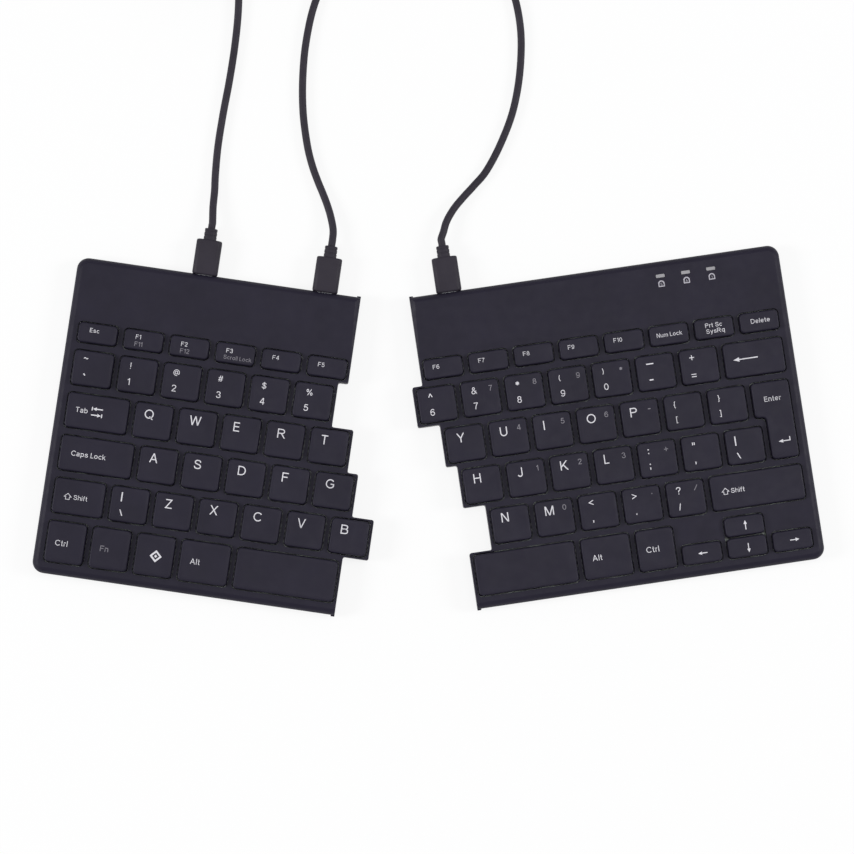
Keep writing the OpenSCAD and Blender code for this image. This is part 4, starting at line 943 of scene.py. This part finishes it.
def add_stroke(solid, stroke):
    """One stroke of a glyph, in units"""
    kind = stroke[0] if stroke[0] in "~/@" else ""
    numbers = [[float(c) for c in p.split(",")] for p in stroke[len(kind):].split(";")]
    if kind == "@":
        x, y, rx, ry, first, last = numbers[0]
        closed = abs(last - first) == 360
        count = max(6, int(abs(last - first) / 15))
        angles = np.radians(np.linspace(first, last, count + 1)[:count if closed else None])
        points = [(x + rx * math.cos(a), y + ry * math.sin(a)) for a in angles]
        solid.stroke(points, LINE_WIDTH, 0, 1, closed)
    elif kind == "/":
        (x0, y0), (x1, y1) = numbers
        h = LINE_WIDTH / 2 * math.hypot(x1 - x0, y1 - y0) / abs(y1 - y0)
        solid.prism([(x0 - h, y0), (x0 + h, y0), (x1 + h, y1), (x1 - h, y1)], 0, 1)
    else:
        solid.stroke(smooth(numbers, 3) if kind else numbers, LINE_WIDTH, 0, 1)


def add_text(solid, body, u, v, cap, left):
    """Line of type whose ink has its middle, or the middle of its left side, at a place"""
    line = Solid()
    x = 0.0
    for c in body:
        if c == " ":
            x += WORD_GAP
            continue
        glyph = Solid()
        for stroke in TYPE[c].split():
            add_stroke(glyph, stroke)
        points = np.array(glyph.points)
        low, high = points[:, 0].min(), points[:, 0].max()
        line.add(points + (x - low, 0, 0), glyph.faces)
        x += high - low + LETTER_GAP
    points = np.array(line.points)
    low, high = points.min(0), points.max(0)
    anchor = np.array((low[0] if left else (low[0] + high[0]) / 2, (low[1] + high[1]) / 2))
    flat = (points[:, :2] - anchor) * cap / 10 + (u, v)
    solid.add(np.column_stack((flat, np.where(points[:, 2] > 0.5, INK_HIGH, INK_LOW))), line.faces)


def draw(solid, path, width, closed=False):
    solid.stroke(path, width, INK_LOW, INK_HIGH, closed)


def fill(solid, loop):
    solid.prism(loop, INK_LOW, INK_HIGH)


HEAD_OVERLAP = 0.1


def add_arrow(solid, tail_at, tip, line, head, spread):
    """Straight arrow with a filled head of a length and a width"""
    a, b = np.array(tail_at, float), np.array(tip, float)
    along = (b - a) / np.linalg.norm(b - a)
    across = np.array((-along[1], along[0]))
    neck = b - head * along
    draw(solid, [a, neck + HEAD_OVERLAP * along], line)
    fill(solid, [neck - spread / 2 * across, b, neck + spread / 2 * across])


SMALL_ARROW_HALF = 2.0
SMALL_ARROWS = {
    "arrow_left_key": (-1, 0), "arrow_right_key": (1, 0), "arrow_up_key": (0, 1),
    "arrow_down_key": (0, -1)
}


def add_sign(solid, kind, u, v):
    mark = Solid()
    if kind in SMALL_ARROWS:
        d = np.array(SMALL_ARROWS[kind]) * SMALL_ARROW_HALF
        add_arrow(mark, -d, d, 0.4, 1.6, 1.5)
    elif kind == "backspace":
        add_arrow(mark, (5.35, 0), (-5.35, 0), 0.45, 2.6, 1.9)
    elif kind == "tab":
        for s in (-1, 1):
            y = s * 1.35
            add_arrow(mark, (s * 2.4, y), (-s * 1.9, y), 0.5, 1.6, 1.5)
            draw(mark, [(-s * 2.2, y - 0.8), (-s * 2.2, y + 0.8)], 0.45)
    elif kind == "shift":
        outline = [(-0.8, -1.25), (0.8, -1.25), (0.8, -0.1), (1.5, -0.1), (0, 1.35), (-1.5, -0.1),
                   (-0.8, -0.1)]
        draw(mark, outline, 0.24, closed=True)
    elif kind == "enter":
        draw(mark, [(2.4, 1.3), (2.4, -0.35), (-0.7, -0.35)], 0.42)
        fill(mark, [(-2.6, -0.35), (-0.6, -1.1), (-0.6, 0.4)])
    elif kind == "system":
        draw(mark, [(0, -2.1), (2.1, 0), (0, 2.1), (-2.1, 0)], 0.75, closed=True)
        fill(mark, [(0, -0.7), (0.7, 0), (0, 0.7), (-0.7, 0)])
    solid.add(np.array(mark.points) + (u, v, 0), mark.faces)


def add_marks(solid, key, tone):
    for form, body, u, v, cap, ink, left in key.marks:
        if ink != tone:
            continue
        mark = Solid()
        if form == "text":
            add_text(mark, body, u, v, cap, left)
        else:
            add_sign(mark, body, u, v)
        points = np.array(mark.points)
        points[:, 2] += top_z(key, points[:, 0], points[:, 1])
        solid.add(points + key_middle(key), mark.faces)


# Islands of a CAD node, for the soft and springy pieces under each key
WELD_M = 1e-6


def islands(node):
    bm = bmesh.new()
    bm.from_mesh(frame["nodes"][node].data)
    bmesh.ops.remove_doubles(bm, verts=bm.verts, dist=WELD_M)
    bm.verts.ensure_lookup_table()
    seen = set()
    found = []
    for first in bm.verts:
        if first.index in seen:
            continue
        stack, group = [first], []
        seen.add(first.index)
        while stack:
            v = stack.pop()
            group.append(v)
            for e in v.link_edges:
                other = e.other_vert(v)
                if other.index not in seen:
                    seen.add(other.index)
                    stack.append(other)
        index = {v.index: i for i, v in enumerate(group)}
        faces = {f for v in group for f in v.link_faces}
        ordered = sorted(faces, key=lambda f: f.index)
        points = np.array([v.co for v in group]) / MM
        found.append((points, [[index[v.index] for v in f.verts] for f in ordered]))
    bm.free()
    return found


def under_keys(half, node, name, shader):
    """Splits a node's islands among the keys above them, as one piece for each key node, fixed to
    the half
    """
    mine = [k for k in keys if k.half == half]
    middles = on_half(half)(np.array([key_middle(k) for k in mine]))[:, :2]
    groups = {}
    for points, faces in islands(node):
        middle = (points.min(0) + points.max(0))[:2] / 2
        nearest = mine[int(np.linalg.norm(middles - middle, axis=1).argmin())].node
        groups.setdefault(nearest, Solid()).add(points, faces)
    for key_node, solid in groups.items():
        obj = make(f"{name}_{key_node}", solid, shader, angle=35)
        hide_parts(node)
        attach(obj, half + "_half")
        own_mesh(obj)


for half in ("left", "right"):
    under_keys(half, half + "_domes", "domes", DOME)
    under_keys(half, half + "_scissor_frames", "frames", FRAME)
    under_keys(half, half + "_stabilisers", "stabiliser", STEEL)

for node in dict.fromkeys(key.node for key in keys):
    mine = [k for k in keys if k.node == node]
    half = mine[0].half
    caps, white, grey = Solid(), Solid(), Solid()
    for key in mine:
        add_cap(caps, key)
        add_marks(white, key, WHITE)
        add_marks(grey, key, GREY)
    body = frame["nodes"][node]["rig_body"]
    cap_piece = make(node + "_caps", caps, KEY, on_half(half), angle=50)
    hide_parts(node)
    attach(cap_piece, body)
    if white.points:
        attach(make(node + "_legend", white, INK, on_half(half)), body)
    if grey.points:
        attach(make(node + "_legend_grey", grey, GREY_INK, on_half(half)), body)

# Status symbols in front of the lights, printed on the right cover
COVER_Z = 7.8
LIGHT_X, LIGHT_PITCH, SYMBOL_Y = 30.4, 11.0, -9.9
LOCK_R, LOCK_BASE = 1.15, -1.15
BOW_LINE, LOCK_LINE = 0.5, 0.42
FIGURE_V, FIGURE_CAP = -0.25, 1.1


def status_symbols():
    """Padlocks with a figure in each"""
    solid = Solid()
    bow = [(LOCK_R * math.cos(a), LOCK_R * math.sin(a)) for a in np.arange(13) * math.pi / 12]
    for i, body in enumerate("1AS"):
        mark = Solid()
        draw(mark, bow, BOW_LINE)
        draw(mark, [bow[-1], (-LOCK_R, LOCK_BASE), (LOCK_R, LOCK_BASE), bow[0]], LOCK_LINE)
        add_text(mark, body, 0, FIGURE_V, FIGURE_CAP, False)
        at = (level_x("right", LIGHT_X + i * LIGHT_PITCH), SYMBOL_Y, COVER_Z)
        solid.add(np.array(mark.points) + at, mark.faces)
    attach(make("status_symbols", solid, STATUS_INK, on_half("right")), "right_half")


status_symbols()

# Materials of the CAD nodes that stay
FINISH = {
    "bottom_case": CASE, "top_cover": CASE, "support_plate": STEEL, "membrane": FILM,
    "circuit_board": BOARD, "usb_sockets": STEEL, "usb_socket": STEEL, "feet": RUBBER,
    "screws": STEEL, "light_pipes": LIGHT
}
for name, obj in frame["nodes"].items():
    shader = FINISH.get(name.split("_", 1)[1])
    if shader:
        for slot in obj.material_slots:
            slot.material = shader.material

# Stage: a white floor that keeps a soft shadow, and light from both sides and above
FLOOR_WHITE = 0.85
FLOOR_REACH_M, FLOOR_Z_M = 4, -0.0001
WORLD_COLOR, WORLD_STRENGTH = (0.97, 0.98, 1, 1), 0.35
# Name, place and size in metres, and power in watts
LIGHTS = [
    ("left_light", (-1.7, -0.1, 1.1), 0.6, 18.5), ("right_light", (1.7, 0.1, 1.1), 0.6, 15),
    ("top_light", (0.3, 0.3, 2.0), 1.2, 8.5)
]


def seen_directly(tree):
    """Rays that show the background: from the camera, a mirror or glass"""
    path = tree.nodes.new("ShaderNodeLightPath")
    total = path.outputs["Is Camera Ray"]
    for name in ("Is Glossy Ray", "Is Transmission Ray"):
        node = tree.nodes.new("ShaderNodeMath")
        node.operation = "MAXIMUM"
        tree.links.new(total, node.inputs[0])
        tree.links.new(path.outputs[name], node.inputs[1])
        total = node.outputs[0]
    return total


def add_floor():
    mesh = bpy.data.meshes.new("floor")
    corners = ((-1, -1), (1, -1), (1, 1), (-1, 1))
    points = [(x * FLOOR_REACH_M, y * FLOOR_REACH_M, FLOOR_Z_M) for x, y in corners]
    mesh.from_pydata(points, [], [(0, 1, 2, 3)])
    floor = bpy.data.objects.new("floor", mesh)
    scene.collection.objects.link(floor)
    material = bpy.data.materials.new("floor_white")
    material.use_nodes = True
    tree = material.node_tree
    tree.nodes.remove(tree.nodes["Principled BSDF"])
    diffuse = tree.nodes.new("ShaderNodeBsdfDiffuse")
    diffuse.inputs["Color"].default_value = (1, 1, 1, 1)
    glow = tree.nodes.new("ShaderNodeEmission")
    share = tree.nodes.new("ShaderNodeMath")
    share.operation = "MULTIPLY"
    share.inputs[1].default_value = FLOOR_WHITE
    mix = tree.nodes.new("ShaderNodeMixShader")
    tree.links.new(seen_directly(tree), share.inputs[0])
    tree.links.new(share.outputs[0], mix.inputs["Fac"])
    tree.links.new(diffuse.outputs[0], mix.inputs[1])
    tree.links.new(glow.outputs[0], mix.inputs[2])
    tree.links.new(mix.outputs[0], tree.nodes["Material Output"].inputs["Surface"])
    mesh.materials.append(material)


def add_world():
    world = bpy.data.worlds.new("world")
    world.use_nodes = True
    scene.world = world
    tree = world.node_tree
    soft = tree.nodes["Background"]
    soft.inputs["Color"].default_value = WORLD_COLOR
    soft.inputs["Strength"].default_value = WORLD_STRENGTH
    white = tree.nodes.new("ShaderNodeBackground")
    white.inputs["Color"].default_value = (1, 1, 1, 1)
    mix = tree.nodes.new("ShaderNodeMixShader")
    path = tree.nodes.new("ShaderNodeLightPath")
    tree.links.new(path.outputs["Is Camera Ray"], mix.inputs["Fac"])
    tree.links.new(soft.outputs[0], mix.inputs[1])
    tree.links.new(white.outputs[0], mix.inputs[2])
    tree.links.new(mix.outputs[0], tree.nodes["World Output"].inputs["Surface"])


def add_light(name, at, size, power):
    data = bpy.data.lights.new(name, "AREA")
    data.size = size
    data.energy = power
    light = bpy.data.objects.new(name, data)
    light.location = at
    light.rotation_euler = (-Vector(at)).to_track_quat("-Z", "Y").to_euler()
    scene.collection.objects.link(light)


add_floor()
add_world()
for light in LIGHTS:
    add_light(*light)
